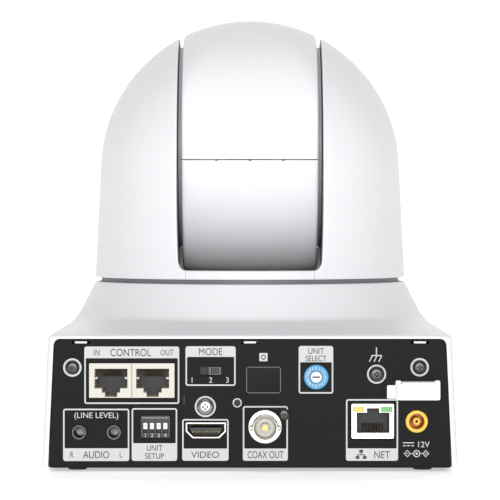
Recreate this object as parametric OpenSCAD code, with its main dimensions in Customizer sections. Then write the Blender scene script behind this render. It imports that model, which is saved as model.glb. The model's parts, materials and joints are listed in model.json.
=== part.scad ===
// Pan-tilt-zoom camera: table base with a rear connector panel, a head that pans, a drum that tilts.
// The origin is on the pan axis, on the surface that the feet rest on.
// +Y is where the lens looks at rest and +Z is up. The connector panel faces -Y.

/* [Base] */
// Width of the base across its lower edge
base_w = 158.4; // [152:0.2:172]
// Distance from the pan axis to the face of the connector panel
rear_d = 110; // [106:0.5:124]
// Height of the connector panel's top edge
panel_top = 49.7; // [49:0.1:56]
// Wall of the base cover
base_wall = 2.4; // [2:0.1:3]
// How far each side of the base leans in from bottom to top
base_draft = 2.2; // [1:0.1:3]
// Thickness of the connector panel
panel_t = 1.5; // [1:0.1:2]
// Height of the feet
foot_h = 1.2; // [1:0.1:1.4]
// Radius of one foot
foot_r = 3.5; // [3:0.5:6]

/* [Neck] */
// Radius of the neck where it rises from the base
neck_foot_r = 71.6; // [69:0.1:74]
// Radius of the neck's upper edge
neck_top_r = 64.3; // [63:0.1:66]
// Height of the neck's upper edge
neck_top = 69.2; // [69:0.1:76]
// Gap between the neck and the turning collar, around the collar
collar_gap = 0.4; // [0.3:0.05:0.6]

/* [Head] */
// Height of the gap between the neck and the head covers
head_gap = 1.8; // [1.4:0.1:2.4]
// Radius of the head covers at their lower edge
head_r = 64.5; // [63:0.1:68]
// Wall of the head covers
head_wall = 2.2; // [1.8:0.1:2.6]
// Radius of the domed top
dome_r = 62.2; // [61:0.1:64]
// Width of the opening between the two arms
slot_w = 58.4; // [57.6:0.1:62]
// Height of the sill behind the drum, above the head's lower edge
rear_sill = 3.6; // [3:0.1:6]
// Height of the sill in front of the drum, above the head's lower edge
front_sill = 2; // [1.6:0.1:2.6]
// Corner radius at the foot of the opening
slot_corner = 4.5; // [3:0.5:5]
// Width of the two strips that close the opening's foot
chin_w = 50.6; // [48:0.2:52]

/* [Drum] */
// Height of the tilt axis above the resting surface
tilt_z = 125; // [124:0.5:134]
// Largest radius of the drum
drum_r = 52.5; // [48:0.5:53]
// Radius of the drum at its two ends
drum_end_r = 51.4; // [50:0.2:52]
// Width of the drum
drum_w = 54.6; // [53:0.1:55]
// Wall of the drum covers
drum_wall = 2; // [1.6:0.1:2.4]
// Height of the seam between the drum covers, below the tilt axis
seam_drop = 6.4; // [4:0.2:10]
// Radius of the side disc on each tilt hub
side_disc_r = 41.5; // [36:0.5:43]
// Distance from the tilt axis to the drum's flat front
drum_front = 44; // [42:0.5:45]
// Distance from the tilt axis to the front of the lens hood
lens_reach = 89.6; // [84:0.2:92]
// Radius of the lens barrel
barrel_r = 24; // [21:0.5:24.5]

/* [Mechanism] */
// Radius of the hollow post that the head turns on
post_r = 12; // [11:0.5:13]
// Radius of the pan bearing
pan_bearing_r = 17; // [16:0.5:18]
// Radius of the tilt shafts
shaft_r = 9; // [8:0.5:10]
// Radius of the tilt bearings
tilt_bearing_r = 13; // [12.5:0.5:14]
// Radial clearance of turned fits
fit = 0.02; // [0.01:0.01:0.05]

/* [Mounts] */
// Bore of the tripod thread, as tapped
tripod_bore_r = 2.55; // [2.4:0.05:2.7]
// Depth of the tripod thread
tripod_depth = 6; // [5:0.5:8]
// Half the side spacing of the ceiling bracket holes
bracket_x = 30; // [24:1:34]
// Half the lengthwise spacing of the ceiling bracket holes
bracket_y = 24; // [20:1:28]
// Bore of the bracket holes, as tapped
bracket_bore_r = 1.25; // [1.2:0.05:1.4]

/* [Connectors] */
// How far the connector board stands behind the panel's face
board_d = 18; // [17:0.5:20]
// Gap around each connector in its panel opening
panel_gap = 0.15; // [0.1:0.05:0.25]
// Width of a plug opening in the serial and network sockets
plug_w = 12.4; // [12:0.1:12.8]
// Height of a plug opening in the serial sockets
plug_h = 7.4; // [7.2:0.1:7.8]
// Spacing of the two serial openings
serial_pitch = 15.65; // [15:0.05:16]
// Radius of the audio jacks' bore
audio_bore_r = 1.8; // [1.75:0.01:1.9]
// Depth of the audio jacks' bore
audio_depth = 14; // [13:0.5:14.5]
// Spacing of the two audio jacks
audio_pitch = 13.1; // [11:0.1:14]
// Radius of the selector dial
dial_r = 4.7; // [4:0.1:5]
// Travel of the mode switch knob
mode_travel = 3.4; // [2.8:0.1:3.4]
// Spacing of the setup switch levers
lever_pitch = 2.5; // [2.3:0.05:2.6]
// Travel of one setup switch lever
lever_travel = 1.3; // [1:0.1:1.4]

/* [Hidden] */
$fn = 96;
EPS = 0.02;

chassis_t = 2.5;
chassis_top = foot_h + chassis_t;
cover_low = foot_h + 0.3;
edge_r = 1.8;
brim_top = panel_top + 1.5;
brim_side = brim_top - edge_r;
corner_r = 3;
rear_proud = 0.6;
rear_taper = 0.8;
neck_z = brim_top + 3.8;
panel_low = foot_h + 0.8;
seam = 0.2;

collar_r = neck_top_r - 2 - collar_gap;
head_z = neck_top + head_gap;
deck_z = neck_top - 23.2;
deck_t = 2.5;
deck_top = deck_z + deck_t;
deck_post_x = 42;
deck_post_y = 36;
turn_top = head_z + 0.8;
turn_t = 2.5;
dome_z = tilt_z - 9.7;
dome_join = dome_z + 2.7;
cheek_t = 2;
rib_gap = 0.5;
rib_t = 8;
disc_gap = 0.4;
cheek_x = slot_w / 2;
disc_x = cheek_x - disc_gap;
frame_x = cheek_x + cheek_t + 1.3;
rib_reach = cheek_x - drum_w / 2 - rib_gap;
rib_top = tilt_z - side_disc_r - rib_gap;
frame_t = 2.5;
frame_half = 24;
ledge_r = 58;
frame_foot_gap = 7.5;
frame_foot_x = ledge_r - frame_foot_gap;
barrel_arc = (pow(drum_w / 2, 2) + pow(drum_r - drum_end_r, 2)) / (2 * (drum_r - drum_end_r));

chassis_gap = 3.3;
chassis_x = drum_w / 2 - drum_wall - chassis_gap;
plate_t = 2;
chassis_y = 30;
rod_z = 16;
rod_r = 1.5;
group_r = 12.5;

cover_screws = [[66, -84], [-66, -84], [52, 45], [-52, 45]];
feet = [[65.5, -100], [-65.5, -100], [44, 55], [-44, 55]];
board_lift = 8;
standoffs = [[31, -78], [-31, -78], [26, 30], [-26, 30]];

serial_c = [-44.45, 34.2];
network_c = [46.15, 18.9];
video_c = [-16.6, 15.45];
coax_c = [5.65, 16.9];
audio_c = [-57.75, 14.7];
power_c = [62.7, 18.8];
mode_c = [-14.9, 37.8];
setup_c = [-35.6, 16.8];
selector_c = [24.9, 35.5];
window_c = [5.1, 34.4];
clamp_c = [63, 30.6];
black_screws = [[-66.8, 39.1], [63.8, 39.2], [12.8, 21.5], [47.6, 36.6]];
silver_screw_place = [-16.8, 24.4];
hook_places = [-63.6, 0, 63.9];

// ---------- shared shapes ----------

// Box on the connector panel: centre [x, z], size, and depths measured outward from the panel's face
module panel_box(c, w, h, d0, d1) {
    translate([c[0] - w / 2, -rear_d - d1, c[1] - h / 2]) cube([w, d1 - d0, h]);
}

// Round piece on the connector panel: centre [x, z], radius, and depths outward from the panel's face
module panel_peg(c, r, d0, d1) {
    translate([c[0], -rear_d - d0, c[1]]) rotate([90, 0, 0]) cylinder(r = r, h = d1 - d0);
}

// Ring about Z between two heights
module ring(z0, z1, r_out, r_in) {
    translate([0, 0, z0]) difference() {
        cylinder(r = r_out, h = z1 - z0);
        translate([0, 0, -1]) cylinder(r = r_in, h = z1 - z0 + 2);
    }
}

// Ring about the tilt axis between two distances along X
module ring_x(x0, x1, r_out, r_in) {
    translate([x0, 0, tilt_z]) rotate([0, 90, 0]) ring(0, x1 - x0, r_out, r_in);
}

// Ring about the lens axis between two distances along Y
module ring_y(y0, y1, r_out, r_in) {
    translate([0, y0, tilt_z]) rotate([-90, 0, 0]) ring(0, y1 - y0, r_out, r_in);
}

// Solid rod about the tilt axis between two distances along X
module rod_x(x0, x1, r) {
    translate([x0, 0, tilt_z]) rotate([0, 90, 0]) cylinder(r = r, h = x1 - x0);
}

// Solid rod about the lens axis between two distances along Y
module rod_y(y0, y1, r) {
    translate([0, y0, tilt_z]) rotate([-90, 0, 0]) cylinder(r = r, h = y1 - y0);
}

// Crosshead screw whose head faces -Y on the panel
module panel_screw(c, head_r, head_h) {
    difference() {
        union() {
            panel_peg(c, head_r, 0, head_h);
            panel_peg(c, 1.45, -8, 0.1);
        }
        panel_box(c, head_r * 1.1, 0.7, head_h - 0.8, head_h + 1);
        panel_box(c, 0.7, head_r * 1.1, head_h - 0.8, head_h + 1);
    }
}

// One level of the base outline: round at the front, square at the back
module base_level(z, half, back, corner, h = EPS) {
    translate([0, 0, z]) {
        cylinder(r = half, h = h);
        for (side = [-1, 1])
            translate([side * (half - rear_taper - corner), -back + corner, 0])
                cylinder(r = corner, h = h, $fn = 32);
    }
}

// Half width of the base cover's outside at the neck's centre line, at a height
function base_half(z) = base_w / 2 - base_draft * (z - cover_low) / (brim_side - cover_low);

// Half width of the connector panel at a height
function panel_half(z) = base_half(z) - rear_taper - base_wall - 0.25;

// Radius of the drum's outside at a distance from its middle
function barrel_at(x) = sqrt(barrel_arc * barrel_arc - x * x) - (barrel_arc - drum_r);

// ---------- base ----------

module base_outside() {
    hull() {
        base_level(cover_low, base_w / 2, rear_d + rear_proud, corner_r);
        base_level(brim_side, base_half(brim_side), rear_d + rear_proud, corner_r);
        base_level(brim_top, base_half(brim_side) - edge_r, rear_d + rear_proud - edge_r / 2, corner_r);
        translate([0, 0, neck_z]) cylinder(r = neck_foot_r, h = EPS);
    }
    translate([0, 0, neck_z]) cylinder(r1 = neck_foot_r, r2 = neck_top_r, h = neck_top - neck_z);
}

module base_inside() {
    low = cover_low - 1;
    hull() {
        base_level(low, base_half(low) - base_wall, rear_d + 5, 1);
        base_level(panel_top + 0.25, base_half(panel_top) - base_wall, rear_d + 5, 1);
        translate([0, 0, neck_z - base_wall]) cylinder(r = neck_foot_r - base_wall, h = EPS);
    }
    translate([0, 0, neck_z - base_wall])
        cylinder(r1 = neck_foot_r - base_wall, r2 = collar_r + collar_gap,
                 h = neck_top - neck_z + base_wall + EPS);
}

// Opening in the front wall of the base: centre x, centre z, width, height
module front_opening(x, z, w, h) {
    translate([x - w / 2, 60, z - h / 2]) cube([w, 40, h]);
}

// Piece of the front wall, a little proud, that fills such an opening
module front_insert(x, z, w, h) {
    proud = 0.3;
    intersection() {
        front_opening(x, z, w, h);
        difference() {
            translate([0, 0, cover_low])
                cylinder(r1 = base_w / 2 + proud, r2 = base_half(brim_side) + proud, h = brim_side - cover_low);
            translate([0, 0, cover_low])
                cylinder(r = base_half(brim_side) - base_wall - 1, h = brim_side - cover_low);
        }
    }
}

front_window = [0, 24, 34, 12];
light_window = [29, 24, 7, 3];

module base_cover() color("whitesmoke") {
    difference() {
        base_outside();
        difference() {
            base_inside();
            for (p = cover_screws) translate([p[0], p[1], chassis_top]) cylinder(r = 4, h = 60);
        }
        for (p = cover_screws) translate([p[0], p[1], 0]) cylinder(r = 1.25, h = 22);
        for (w = [front_window, light_window]) front_opening(w[0], w[1], w[2] + 0.2, w[3] + 0.2);
    }
    // three hooks that hold the panel's upper edge
    for (x = hook_places) {
        panel_box([x, panel_top - 0.4], 5, 2.2, -panel_t - 2, -panel_t - 0.2);
        panel_box([x, panel_top - 1.15], 4.6, 0.7, -panel_t - 1, -0.2);
    }
}

tripod_seat_r = 6.5;

module bottom_chassis() color("silver") {
    inset = base_wall + 0.3;
    difference() {
        union() {
            hull() base_level(foot_h, base_half(foot_h) - inset, rear_d - panel_t - 0.2, 2, chassis_t);
            for (p = standoffs) translate([p[0], p[1], chassis_top - EPS]) cylinder(r = 3, h = board_lift + EPS);
            for (sx = [-1, 1], sy = [-1, 1])
                translate([sx * bracket_x, sy * bracket_y, chassis_top - EPS]) cylinder(r = 4, h = 4);
        }
        translate([0, 0, -1]) cylinder(r = tripod_seat_r + fit, h = 20);
        for (sx = [-1, 1], sy = [-1, 1])
            translate([sx * bracket_x, sy * bracket_y, 0]) cylinder(r = bracket_bore_r, h = 12);
        for (p = cover_screws) translate([p[0], p[1], 0]) {
            cylinder(r = 1.6, h = 10);
            cylinder(r = 3.2, h = foot_h + 1.5);
        }
    }
}

module tripod_insert() color("goldenrod") difference() {
    union() {
        translate([0, 0, foot_h]) cylinder(r = tripod_seat_r, h = tripod_depth + 1.5);
        translate([0, 0, chassis_top + EPS]) cylinder(r = tripod_seat_r + 2.5, h = 1.5);
    }
    translate([0, 0, foot_h - 1]) cylinder(r = tripod_bore_r, h = tripod_depth + 1);
}

module chassis_screws() color("dimgray")
    for (p = cover_screws) translate([p[0], p[1], foot_h]) difference() {
        union() {
            cylinder(r = 2.8, h = 1.4);
            cylinder(r = 1.2, h = 12);
        }
        translate([-1.6, -0.35, -0.1]) cube([3.2, 0.7, 0.9]);
        translate([-0.35, -1.6, -0.1]) cube([0.7, 3.2, 0.9]);
    }

module rubber_feet() color("dimgray")
    for (p = feet) translate([p[0], p[1], 0]) cylinder(r = foot_r, h = foot_h);

module rear_panel() color("black") difference() {
    corner = 2;
    top_half = panel_half(panel_top);
    low_half = panel_half(panel_low);
    translate([0, -rear_d + panel_t, 0]) rotate([90, 0, 0]) linear_extrude(panel_t) hull() {
        for (side = [-1, 1]) translate([side * (top_half - corner), panel_top - corner])
            circle(r = corner, $fn = 32);
        polygon([[-low_half, panel_low], [low_half, panel_low],
                 [top_half, panel_top - corner], [-top_half, panel_top - corner]]);
    }
    through = -panel_t - 1;
    g = 2 * panel_gap;
    panel_box(serial_c, serial_w + g, serial_h + g, through, 1);
    panel_box(network_c, network_w + g, network_h + g, through, 1);
    panel_box(video_c, video_w + g, video_h + g, through, 1);
    panel_box(window_c, window_w + g, window_h + g, through, 1);
    panel_box(mode_c, mode_slot_w, mode_slot_h, through, 1);
    panel_box(setup_c, setup_w + g, setup_h + g, through, 1);
    panel_peg(coax_c, coax_r + panel_gap, through, 1);
    panel_peg(power_c, power_r + panel_gap, through, 1);
    panel_peg(selector_c, dial_r + panel_gap, through, 1);
    for (side = [-1, 1])
        panel_peg(audio_c + [side * audio_pitch / 2, 0], audio_r + panel_gap, through, 1);
    for (c = black_screws) panel_peg(c, 1.6, through, 1);
    panel_peg(silver_screw_place, 1.6, through, 1);
    for (x = hook_places) panel_box([x, panel_top - 1.15], 7, 1, through, 1);
    panel_peg([-4.8, 25.8], 1.2, through, 1);
    panel_box([-24.8, 26.8], 0.8, 3.6, -0.5, 1);
    for (c = [[37.2, 36.2], [45, 30]]) panel_peg(c, 0.6, -0.5, 1);
}

module panel_screws() color("black") {
    for (i = [0, 1]) panel_screw(black_screws[i], 2.5, 1.2);
    panel_screw(black_screws[2], 2.2, 2.2);
    panel_screw(black_screws[3], 2.8, 1.6);
}

module silver_screw() color("silver") panel_screw(silver_screw_place, 3.1, 1.8);

// ---------- connectors ----------

serial_w = 32.1;
serial_h = 12.95;

module serial_port_block() color("gainsboro") difference() {
    panel_box(serial_c, serial_w, serial_h, -board_d, 0.3);
    for (side = [-1, 1]) {
        c = serial_c + [side * serial_pitch / 2, 0.75];
        panel_box(c, plug_w, plug_h, -12.7, 1);
        panel_box(c - [0, plug_h / 2 + 0.8], 6.9, 1.7, -12.7, 1);
        panel_box(c - [0, plug_h / 2 + 2.4], 4.6, 1.7, -12.7, 1);
    }
}

network_w = 15.9;
network_h = 13;
network_open = [network_c[0] + 0.15, network_c[1] - 0.55];
network_open_h = 7.7;
lamp_z = network_c[1] + 4.5;

module network_socket() color("silver") difference() {
    panel_box(network_c, network_w, network_h, -board_d, 0.4);
    panel_box(network_open, plug_w, network_open_h, -12.7, 1);
    panel_box(network_open + [0, network_open_h / 2 + 0.8], 4.7, 1.7, -12.7, 1);
    for (side = [-1, 1])
        panel_box([network_c[0] + side * 5.25, lamp_z], 4.5, 2, -3, 1);
}

module network_lamps() color("gold") for (side = [-1, 1])
    panel_box([network_c[0] + side * 5.25, lamp_z], 4.4, 1.9, -3, 0.2);

video_w = 15.1;
video_h = 5.9;
video_wall = 0.5;

// Outline of the video socket: flat top, chamfered lower corners
module video_outline(inset) {
    w = video_w / 2 - inset;
    h = video_h / 2 - inset;
    chamfer = 2.5 - inset * 0.4;
    polygon([[-w, h], [w, h], [w, -h + chamfer], [w - chamfer, -h], [-w + chamfer, -h], [-w, -h + chamfer]]);
}

module video_tube(inset, d0, d1) {
    translate([video_c[0], -rear_d - d0, video_c[1]]) rotate([90, 0, 0])
        linear_extrude(d1 - d0) video_outline(inset);
}

module video_socket_shell() color("silver") difference() {
    video_tube(0, -board_d, 0.3);
    video_tube(video_wall, -12, 1);
}

module video_socket_tongue() color("black") {
    panel_box(video_c + [0, 0.2], 11.6, 1.6, -11, -0.8);
    panel_box(video_c + [0, 0.2], 12.4, 3, -12, -11);
}

coax_r = 5.2;
coax_flange_r = 6.2;
coax_barrel_r = 4.85;
coax_bore_r = 4;

module coax_socket() color("silver") difference() {
    union() {
        panel_peg(coax_c, coax_r, -board_d, 0.1);
        panel_peg(coax_c, coax_flange_r, 0, 1.6);
        panel_peg(coax_c, coax_barrel_r, 1.6, 10.5);
        translate([coax_c[0] - 5.8, -rear_d - 7, coax_c[1]]) rotate([0, 90, 0])
            cylinder(r = 0.95, h = 11.6);
    }
    panel_peg(coax_c, coax_bore_r, -4, 11);
}

module coax_contact() color("goldenrod") difference() {
    union() {
        panel_peg(coax_c, coax_bore_r - fit, -4, -2.5);
        panel_peg(coax_c, 1.1, -2.6, 7);
    }
    panel_peg(coax_c, 0.5, 0, 8);
}

audio_r = 2.85;

module audio_jacks() color("dimgray") for (side = [-1, 1]) {
    c = audio_c + [side * audio_pitch / 2, 0];
    difference() {
        union() {
            panel_peg(c, audio_r, -board_d + 4, 0.8);
            panel_box(c, 8, 8, -board_d, -panel_t - 0.1);
        }
        panel_peg(c, audio_bore_r, 0.8 - audio_depth, 2);
    }
}

power_r = 4.2;

module power_jack() color("gold") {
    difference() {
        union() {
            panel_peg(power_c, power_r, -board_d + 2, 0.6);
            panel_box(power_c, 11, 11, -board_d, -panel_t - 0.1);
        }
        panel_peg(power_c, 2.8, -10, 1);
    }
    difference() {
        panel_peg(power_c, 1.45, -10.5, 0);
        panel_peg(power_c, 0.5, -8, 1);
    }
}

mode_knob_w = 4.7;
mode_slot_w = mode_knob_w + mode_travel + 0.3;
mode_slot_h = 3.4;

module mode_switch_body() color("black") difference() {
    panel_box(mode_c, 14, 7.6, -9, -panel_t - 0.05);
    panel_box(mode_c, mode_slot_w, mode_slot_h, -4.6, 1);
}

module mode_switch_knob() color("dimgray") {
    c = mode_c + [mode_travel / 2, 0];
    difference() {
        panel_box(c, mode_knob_w, mode_slot_h - 0.4, -4.4, -0.3);
        panel_box(c, mode_knob_w - 2, mode_slot_h, -0.9, 0);
    }
}

setup_w = 11;
setup_h = 8.2;
lever_w = 1.5;
lever_h = 2.3;

// Centre of the slot of one setup switch lever, numbered 1 to 4
function lever_slot(i) = setup_c + [(i - 2.5) * lever_pitch, -0.35];

module setup_switch_body() color("black") difference() {
    panel_box(setup_c, setup_w, setup_h, -10, -0.3);
    for (i = [1:4])
        panel_box(lever_slot(i), lever_w + 0.3, lever_h + lever_travel + 0.3, -3.4, 1);
}

module setup_lever(i) color("white")
    panel_box(lever_slot(i) + [0, lever_travel / 2], lever_w, lever_h, -3.2, 0.2);

module setup_lever_1() setup_lever(1);
module setup_lever_2() setup_lever(2);
module setup_lever_3() setup_lever(3);
module setup_lever_4() setup_lever(4);

module selector_body() color("dimgray") difference() {
    panel_box(selector_c, 13, 11.5, -12, -panel_t - 0.05);
    panel_peg(selector_c, dial_r + 0.2, -5.4, 1);
    panel_peg(selector_c, 1.5, -8, 1);
}

module selector_dial() color("deepskyblue") difference() {
    union() {
        panel_peg(selector_c, dial_r, -5.2, 0.5);
        panel_peg(selector_c, 2.1, -5.2, 0.8);
        panel_peg(selector_c, 1.45, -7.8, -5);
    }
    panel_box(selector_c, 3, 0.6, 0.1, 2);
    panel_box(selector_c, 0.6, 3, 0.1, 2);
}

window_w = 12.3;
window_h = 9.25;

module rear_ir_window() color("maroon") {
    panel_box(window_c, window_w, window_h, -2, 0.4);
    panel_box(window_c, window_w + 2, window_h + 1.5, -panel_t - 1.2, -panel_t - 0.05);
}

clamp_w = 16;
clamp_hinge = [clamp_c[0], clamp_c[1] + 2.6];
clamp_hinge_d = 1.6;
clamp_gap_d = 4.6;

// Fixed half: back plate with a side tab, and the two ears that hold the hinge pin
module clamp_base() color("white") {
    panel_box([clamp_c[0] - 9.6, clamp_c[1] - 0.6], 3.8, 5, 0, 1.8);
    panel_box([clamp_c[0], clamp_c[1] - 1.2], clamp_w + 0.6, 4.6, 0, 1.8);
    for (side = [-1, 1]) difference() {
        panel_box([clamp_c[0] + side * (clamp_w / 2 - 0.7), clamp_hinge[1] - 1], 2, 4.2, 0, clamp_hinge_d + 1.1);
        translate([clamp_c[0] - clamp_w / 2 - 2, -rear_d - clamp_hinge_d, clamp_hinge[1]])
            rotate([0, 90, 0]) cylinder(r = 0.6, h = clamp_w + 4);
    }
}

// Swinging half: hinge barrel, top web and the front plate that holds the cable
module clamp_strap() color("white") {
    inner_w = clamp_w - 3.6;
    difference() {
        union() {
            translate([clamp_c[0] - clamp_w / 2 - 0.6, -rear_d - clamp_hinge_d, clamp_hinge[1]])
                rotate([0, 90, 0]) cylinder(r = 0.55, h = clamp_w + 1.2);
            translate([clamp_c[0] - inner_w / 2, -rear_d - clamp_hinge_d, clamp_hinge[1]])
                rotate([0, 90, 0]) cylinder(r = 1, h = inner_w);
            panel_box([clamp_c[0], clamp_hinge[1] + 0.1], inner_w, 1.6, clamp_hinge_d, 1.8 + clamp_gap_d + 1.4);
            panel_box([clamp_c[0], clamp_c[1] + 0.1], clamp_w, 6.8, 1.8 + clamp_gap_d, 1.8 + clamp_gap_d + 1.4);
        }
        panel_box([clamp_c[0], clamp_hinge[1] + 1], clamp_w - 5, 0.4, 3.4, 10);
    }
}

// ---------- boards ----------

module connector_board() color("green") {
    translate([-70, -rear_d + board_d, 6]) cube([140, 1.6, 40]);
    for (x = [-50, -15, 20, 50]) translate([x - 4, -rear_d + board_d + 1.6, 22]) cube([8, 1.2, 8]);
}

module main_board() color("green") {
    board_z = chassis_top + board_lift;
    front = 36;
    back = -rear_d + board_d + 6;
    difference() {
        translate([-35, back, board_z]) cube([70, front - back, 1.6]);
        for (p = standoffs) translate([p[0], p[1], board_z - 1]) cylinder(r = 1.5, h = 5);
    }
    translate([-12, -40, board_z + 1.6]) cube([24, 24, 2]);
    for (i = [0:5]) translate([-12 + i * 4.4, -40, board_z + 3.6 - EPS]) cube([2, 24, 8]);
    for (x = [-26, 16]) translate([x, 4, board_z + 1.6]) cube([12, 14, 1.4]);
    translate([-20, back + 4, board_z + 1.6]) cube([40, 6, 6]);
}

module front_ir_window() color("maroon")
    front_insert(front_window[0], front_window[1], front_window[2], front_window[3]);

module status_light() color("honeydew")
    front_insert(light_window[0], light_window[1], light_window[2], light_window[3]);

// ---------- pan mechanism ----------

bearing_z = deck_top + 8.5;
bearing_h = 7;
stator_r = 38;
rotor_r = 44;

module pan_deck() color("silver") {
    difference() {
        union() {
            translate([0, 0, deck_z]) cylinder(r = 60, h = deck_t);
            translate([0, 0, deck_z]) cylinder(r = post_r + 2, h = bearing_z - deck_z);
            translate([0, 0, deck_z]) cylinder(r = post_r, h = turn_top - 1.8 - deck_z);
        }
        translate([0, 0, deck_z - 1]) cylinder(r = post_r - 3, h = 60);
    }
    for (sx = [-1, 1], sy = [-1, 1])
        translate([sx * deck_post_x, sy * deck_post_y, chassis_top])
            cylinder(r = 4, h = deck_z - chassis_top + EPS);
}

module pan_bearing() color("silver")
    ring(bearing_z, bearing_z + bearing_h, pan_bearing_r, post_r + fit);

module pan_stator() color("peru") {
    ring(deck_top, deck_top + 10, stator_r - 4, 26);
    for (i = [0:17]) rotate(i * 20) translate([stator_r - 5, -3.5, deck_top + 1]) cube([4.5, 7, 8]);
}

module pan_rotor() color("dimgray") ring(deck_top + 2, deck_top + 11, rotor_r - fit, stator_r + 1.4);

module turntable() color("gray") difference() {
    union() {
        translate([0, 0, turn_top - turn_t]) cylinder(r = collar_r, h = turn_t);
        ring(turn_top - 7, turn_top - turn_t + EPS, collar_r, collar_r - 2.5);
        ring(deck_top + 2, turn_top - turn_t + EPS, rotor_r + 2.5, rotor_r);
        translate([0, 0, bearing_z]) cylinder(r = pan_bearing_r + 5, h = turn_top - bearing_z);
    }
    translate([0, 0, bearing_z - 1]) cylinder(r = pan_bearing_r + fit, h = bearing_h + 1.5);
    translate([0, 0, bearing_z]) cylinder(r = post_r + 1, h = 30);
}

// ---------- head covers ----------

dome_start = asin((dome_join - dome_z) / dome_r);
dome_steps = 18;

// Points on the dome's outline at a radius, from the join up to the top
function dome_points(r) = [
    for (i = [0:dome_steps])
        let (a = dome_start + (90 - dome_start) * i / dome_steps)
            [i == dome_steps ? 0 : r * cos(a), dome_z + r * sin(a)]
];

// Solid of the head's outside, shrunk by an inset
module head_solid(inset, low) {
    rotate_extrude() polygon(concat(
        [[0, low], [head_r - inset, low]], dome_points(dome_r - inset)));
}

module head_shell() difference() {
    head_solid(0, head_z);
    head_solid(head_wall, head_z - 1);
}

// Half of the opening between the arms, cut towards +Y from the pan axis
module slot_half(sill) {
    z = head_z + sill;
    translate([0, 90, 0]) rotate([90, 0, 0]) linear_extrude(90) {
        translate([-slot_w / 2, z + slot_corner]) square([slot_w, 140]);
        translate([-slot_w / 2 + slot_corner, z]) square([slot_w - 2 * slot_corner, 140]);
        for (side = [-1, 1]) translate([side * (slot_w / 2 - slot_corner), z + slot_corner])
            circle(r = slot_corner);
    }
}

module slot() {
    slot_half(front_sill);
    mirror([0, 1, 0]) slot_half(rear_sill);
}

chin_half = chin_w / 2;

// One arm cover; side is -1 for the left arm and 1 for the right arm
module arm_cover(side) {
    edge = chin_half + seam;
    ledge_x = cheek_x + cheek_t + 0.6;
    intersection() {
        difference() {
            head_shell();
            slot();
        }
        translate([side > 0 ? edge : -edge - 100, -100, 0]) cube([100, 200, 300]);
    }
    // ledge inside the cover that stands on the turntable
    intersection() {
        ring(turn_top + 0.05, turn_top + 2, head_r - head_wall + 0.5, ledge_r);
        translate([side > 0 ? ledge_x : -ledge_x - 100, -100, 0]) cube([100, 200, 300]);
    }
}

module left_arm_cover() color("whitesmoke") arm_cover(-1);
module right_arm_cover() color("whitesmoke") arm_cover(1);

// Each cheek has one low rib that closes the gap under the side disc of the drum
module arm_cheeks() color("gainsboro") for (side = [-1, 1]) mirror([side > 0 ? 0 : 1, 0, 0]) difference() {
    union() {
        intersection() {
            head_solid(head_wall + 0.2, turn_top + 0.05);
            translate([cheek_x, -100, 0]) cube([cheek_t, 200, 300]);
        }
        translate([cheek_x - rib_reach, -rib_t / 2, turn_top + 0.05])
            cube([rib_reach + EPS, rib_t, rib_top - turn_top - 0.05]);
    }
    rod_x(-100, 100, shaft_r + 2);
}

module chin_strips() color("whitesmoke") difference() {
    union() {
        head_shell();
        ring(turn_top + 0.05, turn_top + 1.2, head_r - head_wall + 0.5, 57.5);
    }
    slot();
    for (side = [-1, 1]) translate([side > 0 ? chin_half : -100 - chin_half, -100, 0])
        cube([100, 200, 300]);
}

// ---------- tilt mechanism ----------

bearing_x = frame_x + 0.5;
tilt_bearing_w = 5;
boss_x = bearing_x + tilt_bearing_w + 0.5;
cup_x = boss_x + 1.7;

module arm_frames() color("silver") for (side = [-1, 1]) mirror([side > 0 ? 0 : 1, 0, 0]) difference() {
    union() {
        translate([frame_x, -frame_half, turn_top]) cube([frame_t, 2 * frame_half, tilt_z - turn_top]);
        rod_x(frame_x, frame_x + frame_t, frame_half);
        rod_x(frame_x, boss_x, tilt_bearing_r + 3.5);
        translate([frame_x, -frame_half, turn_top]) cube([frame_foot_x - frame_x, 2 * frame_half, 2.5]);
    }
    rod_x(frame_x - 1, boss_x + 1, tilt_bearing_r + fit);
}

module tilt_bearings() color("silver") for (side = [-1, 1]) mirror([side > 0 ? 0 : 1, 0, 0])
    ring_x(bearing_x, bearing_x + tilt_bearing_w, tilt_bearing_r, shaft_r + fit);

module tilt_stator() color("peru") {
    ring_x(boss_x, cup_x, 25, tilt_bearing_r - 1);
    ring_x(cup_x - EPS, cup_x + 6.8, 25, 21);
    for (i = [0:11]) translate([cup_x + 0.4, 0, tilt_z]) rotate([i * 30, 0, 0])
        translate([0, -3, 19.2]) cube([6, 6, 2.4]);
}

module tilt_rotor() color("dimgray") ring_x(cup_x + 0.8, cup_x + 5.8, 18, shaft_r + fit);

// Turned hub with the side disc that fills the gap beside the drum
module tilt_hub(shaft_end) difference() {
    union() {
        rod_x(drum_w / 2 + 0.05, disc_x, side_disc_r);
        rod_x(chassis_x, disc_x, shaft_r + 4);
        rod_x(chassis_x, shaft_end, shaft_r);
    }
    rod_x(chassis_x - 1, shaft_end + 1, shaft_r - 3);
}

module tilt_hubs() color("gainsboro") {
    tilt_hub(cup_x + 6.8);
    mirror([1, 0, 0]) tilt_hub(boss_x + 6.5);
}

module encoder_disc() color("lightsteelblue")
    mirror([1, 0, 0]) ring_x(boss_x + 4.5, boss_x + 5.5, 16, shaft_r + fit);

module encoder_reader() color("black") mirror([1, 0, 0]) difference() {
    translate([frame_x + frame_t, -5, tilt_z - 24]) cube([12, 10, 10]);
    translate([boss_x + 3.5, -6, tilt_z - 19]) cube([3, 12, 10]);
    rod_x(frame_x, boss_x + 0.1, tilt_bearing_r + 3.6);
}

// ---------- drum ----------

drum_steps = 12;

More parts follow.
